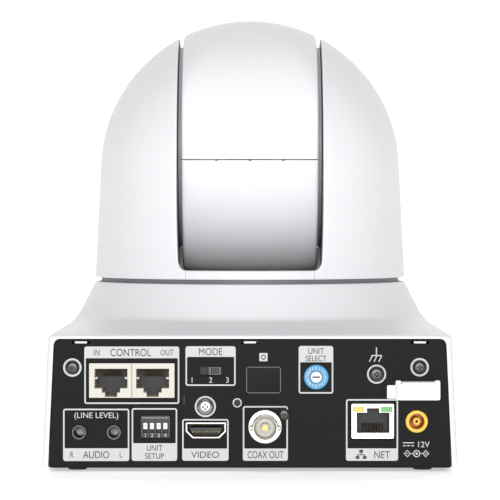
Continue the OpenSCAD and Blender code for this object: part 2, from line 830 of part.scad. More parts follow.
// Solid of the drum's outside, shrunk by an inset: a barrel about the tilt axis whose top follows the head's dome
module drum_solid(inset) intersection() {
    w = drum_w / 2 - inset;
    translate([0, 0, tilt_z]) rotate([0, 90, 0]) rotate_extrude() polygon(concat(
        [[0, -w]],
        [for (i = [0:drum_steps]) let (x = -w + 2 * w * i / drum_steps) [barrel_at(x) - inset, x]],
        [[0, w]]));
    translate([0, 0, dome_z]) sphere(r = dome_r - inset);
}

module drum_shell() difference() {
    drum_solid(0);
    drum_solid(drum_wall);
    rod_x(-drum_w / 2 - 1, drum_w / 2 + 1, shaft_r + 4.5);
    translate([-50, drum_front - 2, tilt_z - 60]) cube([100, 60, 120]);
}

seam_z = tilt_z - seam_drop;

module drum_upper_cover() color("whitesmoke") difference() {
    drum_shell();
    translate([-50, -70, tilt_z - 70]) cube([100, 140, 70 - seam_drop + seam / 2]);
}

module drum_lower_cover() color("whitesmoke") difference() {
    drum_shell();
    translate([-50, -70, seam_z - seam / 2]) cube([100, 140, 70]);
    for (x = [-13.3, 0, 13.3])
        translate([x - 0.6, -drum_r - 1, seam_z - 0.9]) cube([1.2, 2.6, 2]);
}

module drum_front_plate() color("gainsboro") difference() {
    intersection() {
        drum_solid(0);
        translate([-50, drum_front - 1.9, tilt_z - 60]) cube([100, 1.9, 120]);
    }
    rod_y(drum_front - 5, drum_front + 5, barrel_r + 0.1);
}

// ---------- lens ----------

module lens_barrel() color("dimgray") {
    ring_y(chassis_y + plate_t, lens_reach - 8, barrel_r, barrel_r - 2.5);
    ring_y(lens_reach - 18, lens_reach - 16.5, barrel_r - 2.4, 16);
}

module lens_hood() color("black") {
    ring_y(lens_reach - 12, lens_reach - 7, barrel_r + 1, barrel_r + 0.05);
    translate([0, lens_reach - 7 - EPS, tilt_z]) rotate([-90, 0, 0]) difference() {
        cylinder(r = barrel_r + 1, h = 7);
        translate([0, 0, -1]) cylinder(r1 = barrel_r - 5.4, r2 = barrel_r - 1, h = 8.1);
    }
}

module front_glass() color("midnightblue") intersection() {
    rod_y(lens_reach - 16.4, lens_reach - 6, barrel_r - 2.6);
    translate([0, lens_reach - 10 - 50, tilt_z]) sphere(r = 50);
}

module lens_chassis() color("silver") {
    for (side = [-1, 1]) difference() {
        translate([side * (chassis_x - plate_t / 2) - plate_t / 2, -chassis_y, tilt_z - 20])
            cube([plate_t, 2 * chassis_y, 40]);
        rod_x(-50, 50, shaft_r - 3);
    }
    for (y = [-chassis_y - plate_t, chassis_y]) difference() {
        translate([-chassis_x, y, tilt_z - 20]) cube([2 * chassis_x, plate_t, 40]);
        rod_y(y - 1, y + plate_t + 1, 11);
    }
    for (side = [-1, 1]) translate([0, -chassis_y - EPS, tilt_z + side * rod_z]) rotate([-90, 0, 0])
        cylinder(r = rod_r, h = 2 * chassis_y + 2 * EPS);
}

// Lens cell that slides on the two rods, from y over a length
module lens_group(y, len) {
    difference() {
        union() {
            rod_y(y, y + len, group_r);
            translate([-3, y, tilt_z - rod_z - 3.4]) cube([6, len, 2 * rod_z + 6.8]);
        }
        for (side = [-1, 1]) translate([0, y - 1, tilt_z + side * rod_z]) rotate([-90, 0, 0])
            cylinder(r = rod_r + 0.05, h = len + 2);
    }
}

module zoom_group() color("dimgray") lens_group(0, 8);
module focus_group() color("gray") lens_group(-12, 6);

module sensor_board() color("green") {
    translate([-14, -chassis_y, tilt_z - 12]) cube([28, 1.6, 24]);
    translate([-6, -chassis_y + 1.6 - EPS, tilt_z - 5]) cube([12, 1.5, 10]);
}

module ir_cut_filter() color("teal") difference() {
    translate([-10, -19.5, tilt_z - 7]) cube([20, 1.6, 14]);
    translate([-8.5, -20, tilt_z - 4]) cube([8, 3, 8]);
}

// ---------- nodes ----------

bottom_chassis();
base_cover();
rear_panel();
rubber_feet();
tripod_insert();
chassis_screws();
panel_screws();
silver_screw();
serial_port_block();
network_socket();
network_lamps();
video_socket_shell();
video_socket_tongue();
coax_socket();
coax_contact();
audio_jacks();
power_jack();
mode_switch_body();
mode_switch_knob();
setup_switch_body();
setup_lever_1();
setup_lever_2();
setup_lever_3();
setup_lever_4();
selector_body();
selector_dial();
rear_ir_window();
clamp_base();
clamp_strap();
connector_board();
main_board();
front_ir_window();
status_light();
pan_deck();
pan_bearing();
pan_stator();
pan_rotor();
turntable();
left_arm_cover();
right_arm_cover();
arm_cheeks();
chin_strips();
arm_frames();
tilt_bearings();
tilt_stator();
encoder_reader();
tilt_hubs();
tilt_rotor();
encoder_disc();
drum_upper_cover();
drum_lower_cover();
drum_front_plate();
lens_barrel();
lens_hood();
front_glass();
lens_chassis();
zoom_group();
focus_group();
sensor_board();
ir_cut_filter();
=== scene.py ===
"""Looks of the pan-tilt-zoom camera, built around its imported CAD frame.

Metres, +Z up, +Y where the lens looks. The camera of the scene stands behind the object, on the -Y side,
square on to the connector panel. Shapes on the panel are drawn in millimetres as (x, z) with a depth that
counts outward from the panel's face.
"""
import json
import math
import bpy
import bmesh
from mathutils import Matrix, Vector


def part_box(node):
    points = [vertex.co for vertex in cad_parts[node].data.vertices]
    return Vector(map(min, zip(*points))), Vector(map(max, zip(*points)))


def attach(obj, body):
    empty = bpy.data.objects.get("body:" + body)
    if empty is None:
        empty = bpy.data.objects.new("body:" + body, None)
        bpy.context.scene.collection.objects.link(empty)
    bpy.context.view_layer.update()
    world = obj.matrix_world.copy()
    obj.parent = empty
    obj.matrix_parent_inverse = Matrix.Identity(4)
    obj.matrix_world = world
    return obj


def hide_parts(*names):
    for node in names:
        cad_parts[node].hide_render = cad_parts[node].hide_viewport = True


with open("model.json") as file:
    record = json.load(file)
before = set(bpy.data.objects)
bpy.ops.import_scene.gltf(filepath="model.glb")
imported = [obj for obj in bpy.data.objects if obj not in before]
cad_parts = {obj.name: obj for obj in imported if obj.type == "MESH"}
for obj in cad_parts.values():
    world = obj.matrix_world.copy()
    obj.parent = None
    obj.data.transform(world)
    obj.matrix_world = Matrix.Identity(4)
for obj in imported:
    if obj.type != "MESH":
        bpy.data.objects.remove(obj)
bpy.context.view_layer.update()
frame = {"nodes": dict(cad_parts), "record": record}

MM = 0.001
SQUARE = ((-1, -1), (1, -1), (1, 1), (-1, 1))


def node_mm(node):
    """Lowest and highest corner of a CAD node in millimetres."""
    low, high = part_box(node)
    return [v / MM for v in low], [v / MM for v in high]


PANEL_LOW, PANEL_HIGH = node_mm("rear_panel")
COVER_LOW, COVER_HIGH = node_mm("base_cover")
ARM_LOW, ARM_HIGH = node_mm("right_arm_cover")
FACE_Y = PANEL_LOW[1]
TILT_Z = frame["record"]["behaviour"]["joints"][1]["pos_m"][2] / MM


# ---------- colours and materials ----------

def srgb(r, g, b):
    """Colour as seen on a screen, 0 to 255, turned into the linear values that shaders use."""
    def linear(v):
        v /= 255
        return v / 12.92 if v <= 0.04045 else ((v + 0.055) / 1.055) ** 2.4
    return (linear(r), linear(g), linear(b), 1.0)


def shade(colour, factor):
    """The same colour, lighter or darker."""
    return tuple(min(1.0, c * factor) for c in colour[:3]) + (1.0,)


def surface(name, colour, rough, metal=0.0, mottle=0.02, mottle_scale=60, rough_spread=0.05,
            grain=0.05, grain_scale=2500, stretch=(1, 1, 1), coat=0.0, specular=0.5, anisotropy=0.0):
    """Procedural material: two scales of noise vary its colour, its gloss and its fine relief."""
    material = bpy.data.materials.new(name)
    material.use_nodes = True
    nodes, links = material.node_tree.nodes, material.node_tree.links
    shader = nodes["Principled BSDF"]
    for socket, value in (("Metallic", metal), ("Coat Weight", coat), ("Coat Roughness", 0.08),
                          ("Specular IOR Level", specular), ("Anisotropic", anisotropy)):
        shader.inputs[socket].default_value = value

    place = nodes.new("ShaderNodeTexCoord")
    mapping = nodes.new("ShaderNodeMapping")
    mapping.inputs["Scale"].default_value = stretch
    links.new(place.outputs["Object"], mapping.inputs["Vector"])

    def noise(scale, detail):
        node = nodes.new("ShaderNodeTexNoise")
        node.inputs["Scale"].default_value = scale
        node.inputs["Detail"].default_value = detail
        links.new(mapping.outputs["Vector"], node.inputs["Vector"])
        return node

    clouds = noise(mottle_scale, 5)
    tint = nodes.new("ShaderNodeMix")
    tint.data_type = "RGBA"
    tint.inputs[6].default_value = shade(colour, 1 - mottle)
    tint.inputs[7].default_value = shade(colour, 1 + mottle)
    links.new(clouds.outputs["Fac"], tint.inputs["Factor"])
    links.new(tint.outputs[2], shader.inputs["Base Color"])

    gloss = nodes.new("ShaderNodeMapRange")
    gloss.inputs["To Min"].default_value = max(0.02, rough - rough_spread)
    gloss.inputs["To Max"].default_value = rough + rough_spread
    links.new(clouds.outputs["Fac"], gloss.inputs["Value"])
    links.new(gloss.outputs["Result"], shader.inputs["Roughness"])

    fine = noise(grain_scale, 3)
    bump = nodes.new("ShaderNodeBump")
    bump.inputs["Strength"].default_value = grain
    bump.inputs["Distance"].default_value = 0.0002
    links.new(fine.outputs["Fac"], bump.inputs["Height"])
    links.new(bump.outputs["Normal"], shader.inputs["Normal"])
    return material


def clear_material(name, colour, rough, weight, ior):
    """Coated glass or clear plastic with a faint cloud in its tint."""
    material = surface(name, colour, rough, mottle=0.05, grain=0.0, rough_spread=0.01, coat=0.6)
    shader = material.node_tree.nodes["Principled BSDF"]
    shader.inputs["Transmission Weight"].default_value = weight
    shader.inputs["IOR"].default_value = ior
    return material


def glowing(material, colour, strength):
    """Adds a little light of the material's own, for the lamps and the studio paper."""
    shader = material.node_tree.nodes["Principled BSDF"]
    shader.inputs["Emission Color"].default_value = colour
    shader.inputs["Emission Strength"].default_value = strength
    return material


# each solid look: screen colour, roughness, mottling, grain, and what else differs from a plain surface
SOLID_LOOKS = {
    "white_shell": ((240, 240, 243), 0.42, 0.006, 0.1, dict(grain_scale=1800)),
    "pale_trim": ((196, 197, 201), 0.45, 0.01, 0.1, dict()),
    "black_panel": ((19, 19, 20), 0.5, 0.1, 0.35, dict(grain_scale=3200, specular=0.12)),
    "foot_rubber": ((40, 40, 41), 0.8, 0.1, 0.5, dict(grain_scale=1500)),
    "brass_insert": ((196, 160, 90), 0.3, 0.02, 0.05, dict(metal=1, stretch=(1, 1, 20))),
    "steel_screw": ((158, 158, 160), 0.3, 0.06, 0.2, dict(metal=1)),
    "black_screw": ((34, 34, 36), 0.32, 0.1, 0.3, dict(coat=0.3)),
    "port_housing": ((214, 209, 198), 0.45, 0.03, 0.2, dict()),
    "nickel_shield": ((206, 203, 196), 0.34, 0.05, 0.02, dict(metal=1, mottle_scale=220,
                                                              stretch=(1, 1, 5), anisotropy=0.3)),
    "black_plastic": ((22, 22, 23), 0.45, 0.1, 0.3, dict()),
    "gold_contact": ((225, 180, 95), 0.2, 0.02, 0.1, dict(metal=1)),
    "dark_jack": ((58, 58, 60), 0.3, 0.08, 0.2, dict(coat=0.3)),
    "yellow_jack": ((232, 190, 52), 0.35, 0.03, 0.15, dict()),
    "grey_knob": ((64, 64, 66), 0.4, 0.06, 0.25, dict()),
    "white_lever": ((236, 236, 232), 0.35, 0.02, 0.1, dict()),
    "blue_dial": ((38, 142, 196), 0.38, 0.04, 0.15, dict()),
    "infrared_window": ((9, 7, 8), 0.14, 0.1, 0.0, dict(specular=0.12)),
    "white_clamp": ((240, 240, 240), 0.38, 0.01, 0.15, dict()),
    "circuit_board": ((28, 96, 58), 0.35, 0.2, 0.05, dict(mottle_scale=500, coat=0.4)),
    "cast_aluminium": ((184, 186, 189), 0.48, 0.06, 0.5, dict(metal=1, grain_scale=1200)),
    "bearing_steel": ((190, 190, 192), 0.18, 0.02, 0.05, dict(metal=1, stretch=(12, 1, 12))),
    "copper_winding": ((190, 110, 66), 0.3, 0.15, 0.8, dict(metal=1, mottle_scale=900, stretch=(1, 1, 8))),
    "magnet": ((96, 97, 101), 0.3, 0.08, 0.05, dict(metal=1)),
    "grey_collar": ((120, 121, 124), 0.5, 0.04, 0.3, dict()),
    "lens_black": ((26, 26, 28), 0.38, 0.1, 0.3, dict(grain_scale=3000)),
    "lens_cell": ((52, 52, 55), 0.4, 0.08, 0.3, dict()),
    "print_light": ((206, 206, 206), 0.6, 0.05, 0.2, dict(mottle_scale=700)),
    "print_dark": ((58, 58, 60), 0.6, 0.1, 0.2, dict(mottle_scale=700)),
    "print_dim": ((120, 120, 120), 0.6, 0.08, 0.2, dict(mottle_scale=700)),
    # near-black painted shade, for the floors of openings and the sheet behind the panel
    "painted_recess_shade": ((17, 16, 16), 0.5, 0.2, 0.2, dict()),
    # painted shade inside the small openings under the drum's rear seam
    "painted_notch_shade": ((92, 92, 95), 0.6, 0.05, 0.05, dict()),
    "seam_grey": ((150, 150, 154), 0.6, 0.05, 0.05, dict()),
    "jack_inner": ((236, 128, 20), 0.35, 0.1, 0.2, dict()),
    "insulator": ((236, 232, 224), 0.4, 0.02, 0.1, dict()),
}
# each clear look: screen colour, roughness, share of light let through, refractive index
CLEAR_LOOKS = {
    "lamp_lens": ((214, 186, 60), 0.2, 0.3, 1.5),
    "light_pipe": ((222, 236, 226), 0.35, 0.4, 1.49),
    "encoder_glass": ((210, 220, 230), 0.1, 0.7, 1.5),
    "lens_glass": ((96, 112, 150), 0.02, 0.85, 1.6),
    "filter_glass": ((120, 190, 190), 0.05, 0.7, 1.5),
    "lamp_amber": ((226, 196, 60), 0.25, 0.2, 1.5),
    "lamp_green": ((84, 176, 74), 0.25, 0.2, 1.5),
}
looks = {name: surface(name, srgb(*colour), rough, mottle=mottle, grain=grain, **more)
         for name, (colour, rough, mottle, grain, more) in SOLID_LOOKS.items()}
looks.update({name: clear_material(name, srgb(*colour), *rest) for name,
              (colour, *rest) in CLEAR_LOOKS.items()})
for name, glow in (("lamp_amber", (220, 180, 40)), ("lamp_green", (60, 170, 60))):
    glowing(looks[name], srgb(*glow), 0.15)


def dress_cad_nodes():
    """Every CAD node takes the procedural material of its slot in the record."""
    for entry in frame["record"]["subparts"]:
        node = frame["nodes"][entry["node"]]
        material = looks[entry["material_slot"]]
        if not node.material_slots:
            node.data.materials.append(material)
        for place in node.material_slots:
            place.material = material


# ---------- mesh helpers ----------

def add_object(name, data):
    """New object in the scene for a mesh, a light or a camera."""
    obj = bpy.data.objects.new(name, data)
    bpy.context.scene.collection.objects.link(obj)
    return obj


def make_object(name, verts, faces, look, body, node=None, smooth=True, sharp=None):
    """Mesh object from millimetre points, riding on a body; it stands for a CAD node if one is named.
    Edges sharper than the angle sharp stay crisp."""
    mesh = bpy.data.meshes.new(name)
    mesh.from_pydata([Vector(v) * MM for v in verts], [], faces)
    mesh.materials.append(looks[look])
    obj = add_object(name, mesh)
    tidy = bmesh.new()
    tidy.from_mesh(mesh)
    bmesh.ops.remove_doubles(tidy, verts=tidy.verts, dist=1e-6)
    bmesh.ops.recalc_face_normals(tidy, faces=tidy.faces)
    tidy.to_mesh(mesh)
    tidy.free()
    mesh.shade_smooth() if smooth else mesh.shade_flat()
    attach(obj, body)
    if sharp:
        mesh.set_sharp_from_angle(angle=math.radians(sharp))
    if node:
        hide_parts(node)
    return obj


def soften(obj, width, segments=3, angle=35):
    """Rounds the sharp edges of a piece by a width in millimetres and keeps its flats flat."""
    bevel = obj.modifiers.new("rounded_edges", "BEVEL")
    bevel.width = width * MM
    bevel.segments = segments
    bevel.limit_method = "ANGLE"
    bevel.angle_limit = math.radians(angle)
    bevel.harden_normals = True
    return obj


def rounded_rect(cx, cz, w, h, r, steps=5):
    """Outline of a rectangle with round corners, anticlockwise."""
    points = []
    for sx, sz, start in ((1, 1, 0), (-1, 1, 90), (-1, -1, 180), (1, -1, 270)):
        for i in range(steps + 1):
            a = math.radians(start + 90 * i / steps)
            points.append((cx + sx * (w / 2 - r) + r * math.cos(a), cz + sz * (h / 2 - r) + r * math.sin(a)))
    return points


def circle(cx, cz, r, steps=48):
    """Outline of a circle, anticlockwise."""
    return [(cx + r * math.cos(2 * math.pi * i / steps), cz + r * math.sin(2 * math.pi * i / steps))
            for i in range(steps)]


def flat_fill(outer, holes=()):
    """Triangles that fill an outline and leave its holes open: (points, faces, loops of indices)."""
    flat = bmesh.new()
    loops = []
    for loop in [outer, *holes]:
        verts = [flat.verts.new((x, z, 0)) for x, z in loop]
        for i, v in enumerate(verts):
            flat.edges.new((v, verts[(i + 1) % len(verts)]))
        loops.append(verts)
    bmesh.ops.triangle_fill(flat, use_beauty=True, edges=flat.edges[:], normal=(0, 0, 1))
    flat.verts.index_update()
    points = [(v.co.x, v.co.y) for v in flat.verts]
    faces = [[v.index for v in f.verts] for f in flat.faces]
    indices = [[v.index for v in loop] for loop in loops]
    flat.free()
    return points, faces, indices


def plate_geometry(outer, holes, d0, d1):
    """Plate on the panel between two depths, with through holes: (points, faces)."""
    points, faces, loops = flat_fill(outer, holes)
    n = len(points)
    verts = [(x, FACE_Y - d0, z) for x, z in points] + [(x, FACE_Y - d1, z) for x, z in points]
    solid = [list(f) for f in faces] + [[i + n for i in reversed(f)] for f in faces]
    for loop in loops:
        for i, a in enumerate(loop):
            b = loop[(i + 1) % len(loop)]
            solid.append([a, b, b + n, a + n])
    return verts, solid


def plate(name, outer, holes, d0, d1, look, body="base", node=None, edge=0.15):
    """Flat piece on the panel between two depths, with its edges rounded by a width."""
    verts, faces = plate_geometry(outer, holes, d0, d1)
    obj = make_object(name, verts, faces, look, body, node, smooth=False)
    return soften(obj, edge) if edge else obj


def lathe_geometry(profile, centre, axis, steps=64):
    """Surface of revolution: profile is [(radius, distance along axis)], axis is "x", "y", "z" or "out"."""
    verts, faces = [], []
    for r, d in profile:
        for i in range(steps):
            a = 2 * math.pi * i / steps
            u, v = r * math.cos(a), r * math.sin(a)
            offset = {"x": (d, u, v), "y": (u, d, v), "z": (u, v, d), "out": (u, -d, v)}[axis]
            verts.append(tuple(c + o for c, o in zip(centre, offset)))
    for k in range(len(profile) - 1):
        for i in range(steps):
            j = (i + 1) % steps
            faces.append([k * steps + i, k * steps + j, (k + 1) * steps + j, (k + 1) * steps + i])
    return verts, faces


def lathe(name, profile, centre, axis, look, body, node=None, steps=64):
    """Turned piece."""
    verts, faces = lathe_geometry(profile, centre, axis, steps)
    return make_object(name, verts, faces, look, body, node, sharp=30)


def on_panel(x, z, d=0.0):
    """Point in front of the panel's face by a depth."""
    return (x, FACE_Y - d, z)


def turned(name, profile, place, look, node=None, body="base", steps=64):
    """Turned piece at (x, z) on the panel, with its axis square to it."""
    return lathe(name, profile, on_panel(*place), "out", look, body, node, steps)


def side_name(side):
    return "left" if side < 0 else "right"


def grid_faces(rows, cols, closed=False, start=0):
    """Quads between rows of points, each row cols long."""
    faces = []
    for r in range(rows - 1):
        for c in range(cols if closed else cols - 1):
            d = (c + 1) % cols
            faces.append([start + r * cols + c, start + r * cols + d,
                          start + (r + 1) * cols + d, start + (r + 1) * cols + c])
    return faces


def bend(a, b, c, steps):
    """Points on the curve that leaves a towards b and arrives at c."""
    a, b, c = Vector(a), Vector(b), Vector(c)
    return [(1 - t) ** 2 * a + 2 * t * (1 - t) * b + t * t * c for t in (i / steps for i in range(steps + 1))]


# ---------- base ----------

COVER_Z0 = COVER_LOW[2]
NECK_TOP = COVER_HIGH[2]
HALF_LOW = COVER_HIGH[0]
BACK = -COVER_LOW[1]
BRIM_TOP = PANEL_HIGH[2] + 1.5
BRIM_EDGE = BRIM_TOP - 1.25
DRAFT = 2.2
WALL = 2.4
TAPER = 0.8
CORNER = 3.0
NECK_Z = BRIM_TOP + 3.8
NECK_FOOT_R = 71.6
NECK_TOP_R = 64.3
COLLAR_R = node_mm("turntable")[1][0]
RIM_ANGLE = 78.5
EDGE_BAND = 1.8


def base_half(z):
    """Half width of the cover's outside at a height."""
    return HALF_LOW - DRAFT * (z - COVER_Z0) / (BRIM_TOP - EDGE_BAND - COVER_Z0)


def outline_point(column, half, inset=0.0):
    """Point of the base outline, of a half width and maybe inset; a column is (kind, value)."""
    kind, value = column
    side = 1
    if kind.startswith("left_"):
        side, kind = -1, kind[5:]
    edge = half - TAPER
    if kind == "front":
        a = math.radians(value)
        return Vector(((half - inset) * math.cos(a), (half - inset) * math.sin(a)))
    if kind == "side":
        x = half + (edge - half) * value - inset
        return Vector((side * x, -(BACK - CORNER) * value))
    if kind == "corner":
        a = math.radians(value)
        r = CORNER - inset
        return Vector((side * (edge - CORNER + r * math.cos(a)), -(BACK - CORNER) - r * math.sin(a)))
    return Vector((value * (edge - CORNER), -BACK + inset))


def outline_columns():
    """Columns of the cover: first those with a full wall, from the right rim round the front to the
    left rim, then those above the panel, which have only the lip."""
    corner = [("corner", RIM_ANGLE * (1 - i / 8)) for i in range(9)]
    side = [("side", 1 - i / 24) for i in range(1, 24)]
    front = [("front", 180 * i / 96) for i in range(97)]
    left_side = [("left_side", i / 24) for i in range(1, 24)]
    left_corner = [("left_corner", RIM_ANGLE * i / 8) for i in range(9)]
    wall = corner + side + front + left_side + left_corner
    ends = [90 - (90 - RIM_ANGLE) * i / 2 for i in range(2)]
    lip = ([("left_corner", a) for a in reversed(ends)] + [("rear", -1 + 2 * i / 60) for i in range(1, 60)]
           + [("corner", a) for a in ends])
    return wall, lip


def upper_ring_points(column):
    """Points of one column from the brim's edge up over the neck and down inside it."""
    half = base_half(BRIM_EDGE)
    inset = 0.9 if column[0] == "rear" else 1.7
    edge = outline_point(column, half)
    top = outline_point(column, half, inset)
    direction = edge.normalized()
    foot = direction * NECK_FOOT_R
    slope_start = Vector((*top, BRIM_TOP))
    points = bend(Vector((*edge, BRIM_EDGE)), Vector((*edge, BRIM_TOP)), slope_start, 4)
    slope_end = Vector((*foot, NECK_Z))
    neck_end = Vector((*(direction * NECK_TOP_R), NECK_TOP))
    slope = slope_start - slope_end
    before_foot = slope_end + slope.normalized() * min(2.2, slope.length / 3)
    after_foot = slope_end + (neck_end - slope_end).normalized() * 3.0
    points += [slope_start.lerp(before_foot, i / 5) for i in range(1, 5)]
    points += bend(before_foot, slope_end, after_foot, 6)
    near_top = neck_end + (slope_end - neck_end).normalized() * 0.7
    points += [after_foot.lerp(near_top, i / 4) for i in range(1, 4)]
    inner = Vector((*(direction * (NECK_TOP_R - 0.7)), NECK_TOP))
    points += bend(near_top, neck_end, inner, 3)
    bore = ((0.8, 0), (0.42, 0.35), (0.45, 6))
    return points + [Vector((*(direction * (COLLAR_R + gap)), NECK_TOP - drop)) for gap, drop in bore]


def wall_points(column):
    """Points of one column from the brim's edge down the outer wall and up inside it."""
    points = []
    for i in range(9):
        z = BRIM_EDGE + (COVER_Z0 + 0.5 - BRIM_EDGE) * i / 8
        points.append(Vector((*outline_point(column, base_half(z)), z)))
    low = base_half(COVER_Z0)
    foot = ((0.15, 0.15), (0.5, 0), (WALL, 0), (WALL, 6))
    return points + [Vector((*outline_point(column, low, inset), COVER_Z0 + rise)) for inset, rise in foot]


def base_cover():
    """Moulded shell: brim, neck, outer walls and the lip over the panel."""
    wall, lip = outline_columns()
    columns = wall + lip
    uppers = [upper_ring_points(c) for c in columns]
    rows = len(uppers[0])
    verts = [uppers[c][r] for r in range(rows) for c in range(len(columns))]
    faces = grid_faces(rows, len(columns), closed=True)

    start = len(verts)
    walls = [wall_points(c) for c in wall]
    # at each rim beside the panel the wall turns in and runs back along the panel's side
    for end, column in ((0, wall[0]), (-1, wall[-1])):
        returned = [p + Vector((0, 3.0, 0)) for p in walls[end]]
        walls.insert(0, returned) if end == 0 else walls.append(returned)
    verts += [walls[c][r] for r in range(len(walls[0])) for c in range(len(walls))]
    faces += grid_faces(len(walls[0]), len(walls), start=start)

    start = len(verts)
    lips = []
    for column in [wall[-1], *lip, wall[0]]:
        edge = outline_point(column, base_half(BRIM_EDGE))
        lips.append([Vector((*edge, BRIM_EDGE)), Vector((edge.x, edge.y + 0.12, PANEL_HIGH[2] + 0.28)),
                     Vector((edge.x, edge.y + 0.4, PANEL_HIGH[2] + 0.2)),
                     Vector((edge.x, edge.y + 4, PANEL_HIGH[2] + 0.2))])
    verts += [lips[c][r] for r in range(4) for c in range(len(lips))]
    faces += grid_faces(4, len(lips), start=start)
    make_object("base_cover_shell", verts, faces, "white_shell", "base", "base_cover", sharp=50)


def panel_half(z):
    """Half width of the panel at a height, inside the cover's walls."""
    return base_half(z) - TAPER - WALL - 0.25


# ---------- rear panel ----------

def panel_centre(node):
    """Middle of a node as seen on the panel: (x, z)."""
    low, high = node_mm(node)
    return (low[0] + high[0]) / 2, (low[2] + high[2]) / 2


SERIAL_PITCH = 15.65
AUDIO_PITCH = 13.1
LEVER_PITCH = 2.5
CONTACT_PITCH = 1.02
PLUG_W = 12.4
SERIAL = panel_centre("serial_port_block")
SERIAL_PORTS = (SERIAL[0] - SERIAL_PITCH / 2, SERIAL[0] + SERIAL_PITCH / 2)
NETWORK = panel_centre("network_socket")
VIDEO = panel_centre("video_socket_shell")
COAX = panel_centre("coax_socket")
AUDIO = [panel_centre("audio_jacks")[0] + side * AUDIO_PITCH / 2 for side in (-1, 1)]
AUDIO_Z = panel_centre("audio_jacks")[1]
POWER = panel_centre("power_jack")
MODE = panel_centre("mode_switch_body")
SETUP = panel_centre("setup_switch_body")
DIAL = panel_centre("selector_dial")
WINDOW = panel_centre("rear_ir_window")
SILVER_SCREW = panel_centre("silver_screw")
GROUND_SCREW = (47.6, 36.6)
# each black screw: place, radius of the head, height of the head
BLACK_SCREWS = (((-66.8, 39.1), 2.5, 1.2), ((63.8, 39.2), 2.5, 1.2), ((12.8, 21.5), 2.2, 2.2),
                (GROUND_SCREW, 2.8, 1.6))
PIN_HOLE = (-4.8, 25.8)
HOOKS = (-63.6, 0.0, 63.9)


def video_outline(inset):
    """Socket outline with a flat top and chamfered lower corners."""
    w, h = 7.55 - inset, 2.95 - inset
    c = 2.5 - 0.4 * inset
    x, z = VIDEO
    return [(x + w, z + h), (x - w, z + h), (x - w, z - h + c), (x - w + c, z - h),
            (x + w - c, z - h), (x + w, z - h + c)]


def rear_panel():
    """Black panel with every opening, a dark sheet behind it that paints the shade seen through the openings,
    the cover's hooks and its two corners.
    """
    top, low = PANEL_HIGH[2], PANEL_LOW[2]
    t, b, r = panel_half(top), panel_half(low), 2.0
    outline = []
    for side, angles in ((1, range(0, 91, 15)), (-1, range(90, 181, 15))):
        outline += [(side * (t - r) + r * math.cos(math.radians(a)), top - r + r * math.sin(math.radians(a)))
                    for a in angles]
    outline += [(-b, low), (b, low)]
    holes = [
        rounded_rect(*SERIAL, 32.4, 13.25, 0.4),
        rounded_rect(*NETWORK, 16.2, 13.3, 0.4),
        rounded_rect(*WINDOW, 12.5, 9.45, 0.8),
        rounded_rect(*MODE, 8.4, 3.4, 0.3),
        rounded_rect(*SETUP, 11.2, 8.4, 0.3),
        video_outline(-0.2),
        circle(*COAX, 5.35), circle(*POWER, 4.35), circle(*DIAL, 4.85), circle(*PIN_HOLE, 1.2, 24),
        rounded_rect(-24.8, 26.8, 0.8, 3.6, 0.35, 3),
    ]
    holes += [circle(x, AUDIO_Z, 3.0) for x in AUDIO]
    holes += [circle(*place, 1.6, 24) for place in [screw[0] for screw in BLACK_SCREWS] + [SILVER_SCREW]]
    holes += [rounded_rect(x, top - 1.15, 7, 1, 0.3, 3) for x in HOOKS]
    plate("connector_panel", outline, holes, -1.5, 0, "black_panel", node="rear_panel", edge=0.18)
    # dark sheet behind the panel: painted shade seen through the gaps round the connectors
    plate("panel_painted_shade_sheet", rounded_rect(0, 26, 146, 44, 2),
          [rounded_rect(*SERIAL, 34, 15, 1), rounded_rect(*NETWORK, 18, 15, 1),
           rounded_rect(VIDEO[0], VIDEO[1], 17, 8, 1), circle(*COAX, 6), circle(*POWER, 6.2),
           rounded_rect(*WINDOW, 15, 12, 1), rounded_rect(*MODE, 15, 9, 1),
           rounded_rect(*SETUP, 13, 10, 1), circle(*DIAL, 5.4), circle(AUDIO[0], AUDIO_Z, 4.5),
           circle(AUDIO[1], AUDIO_Z, 4.5)],
          -2.1, -1.55, "painted_recess_shade", edge=0)
    for x in HOOKS:
        plate(f"cover_hook_{HOOKS.index(x) + 1}", rounded_rect(x, top - 1.15, 4.6, 0.7, 0.25, 3), [],
              -1.4, -0.15, "white_shell", edge=0.08)
    for side in (-1, 1):
        arc = [(side * (t - r + (r + 0.2) * math.cos(a)), top - r + (r + 0.2) * math.sin(a))
               for a in map(math.radians, range(0, 91, 10))]
        gusset = arc + [(side * (t + 0.5), top + 0.4)]
        plate(f"cover_corner_{side_name(side)}", gusset, [], -1.5, 0.35, "white_shell", edge=0)


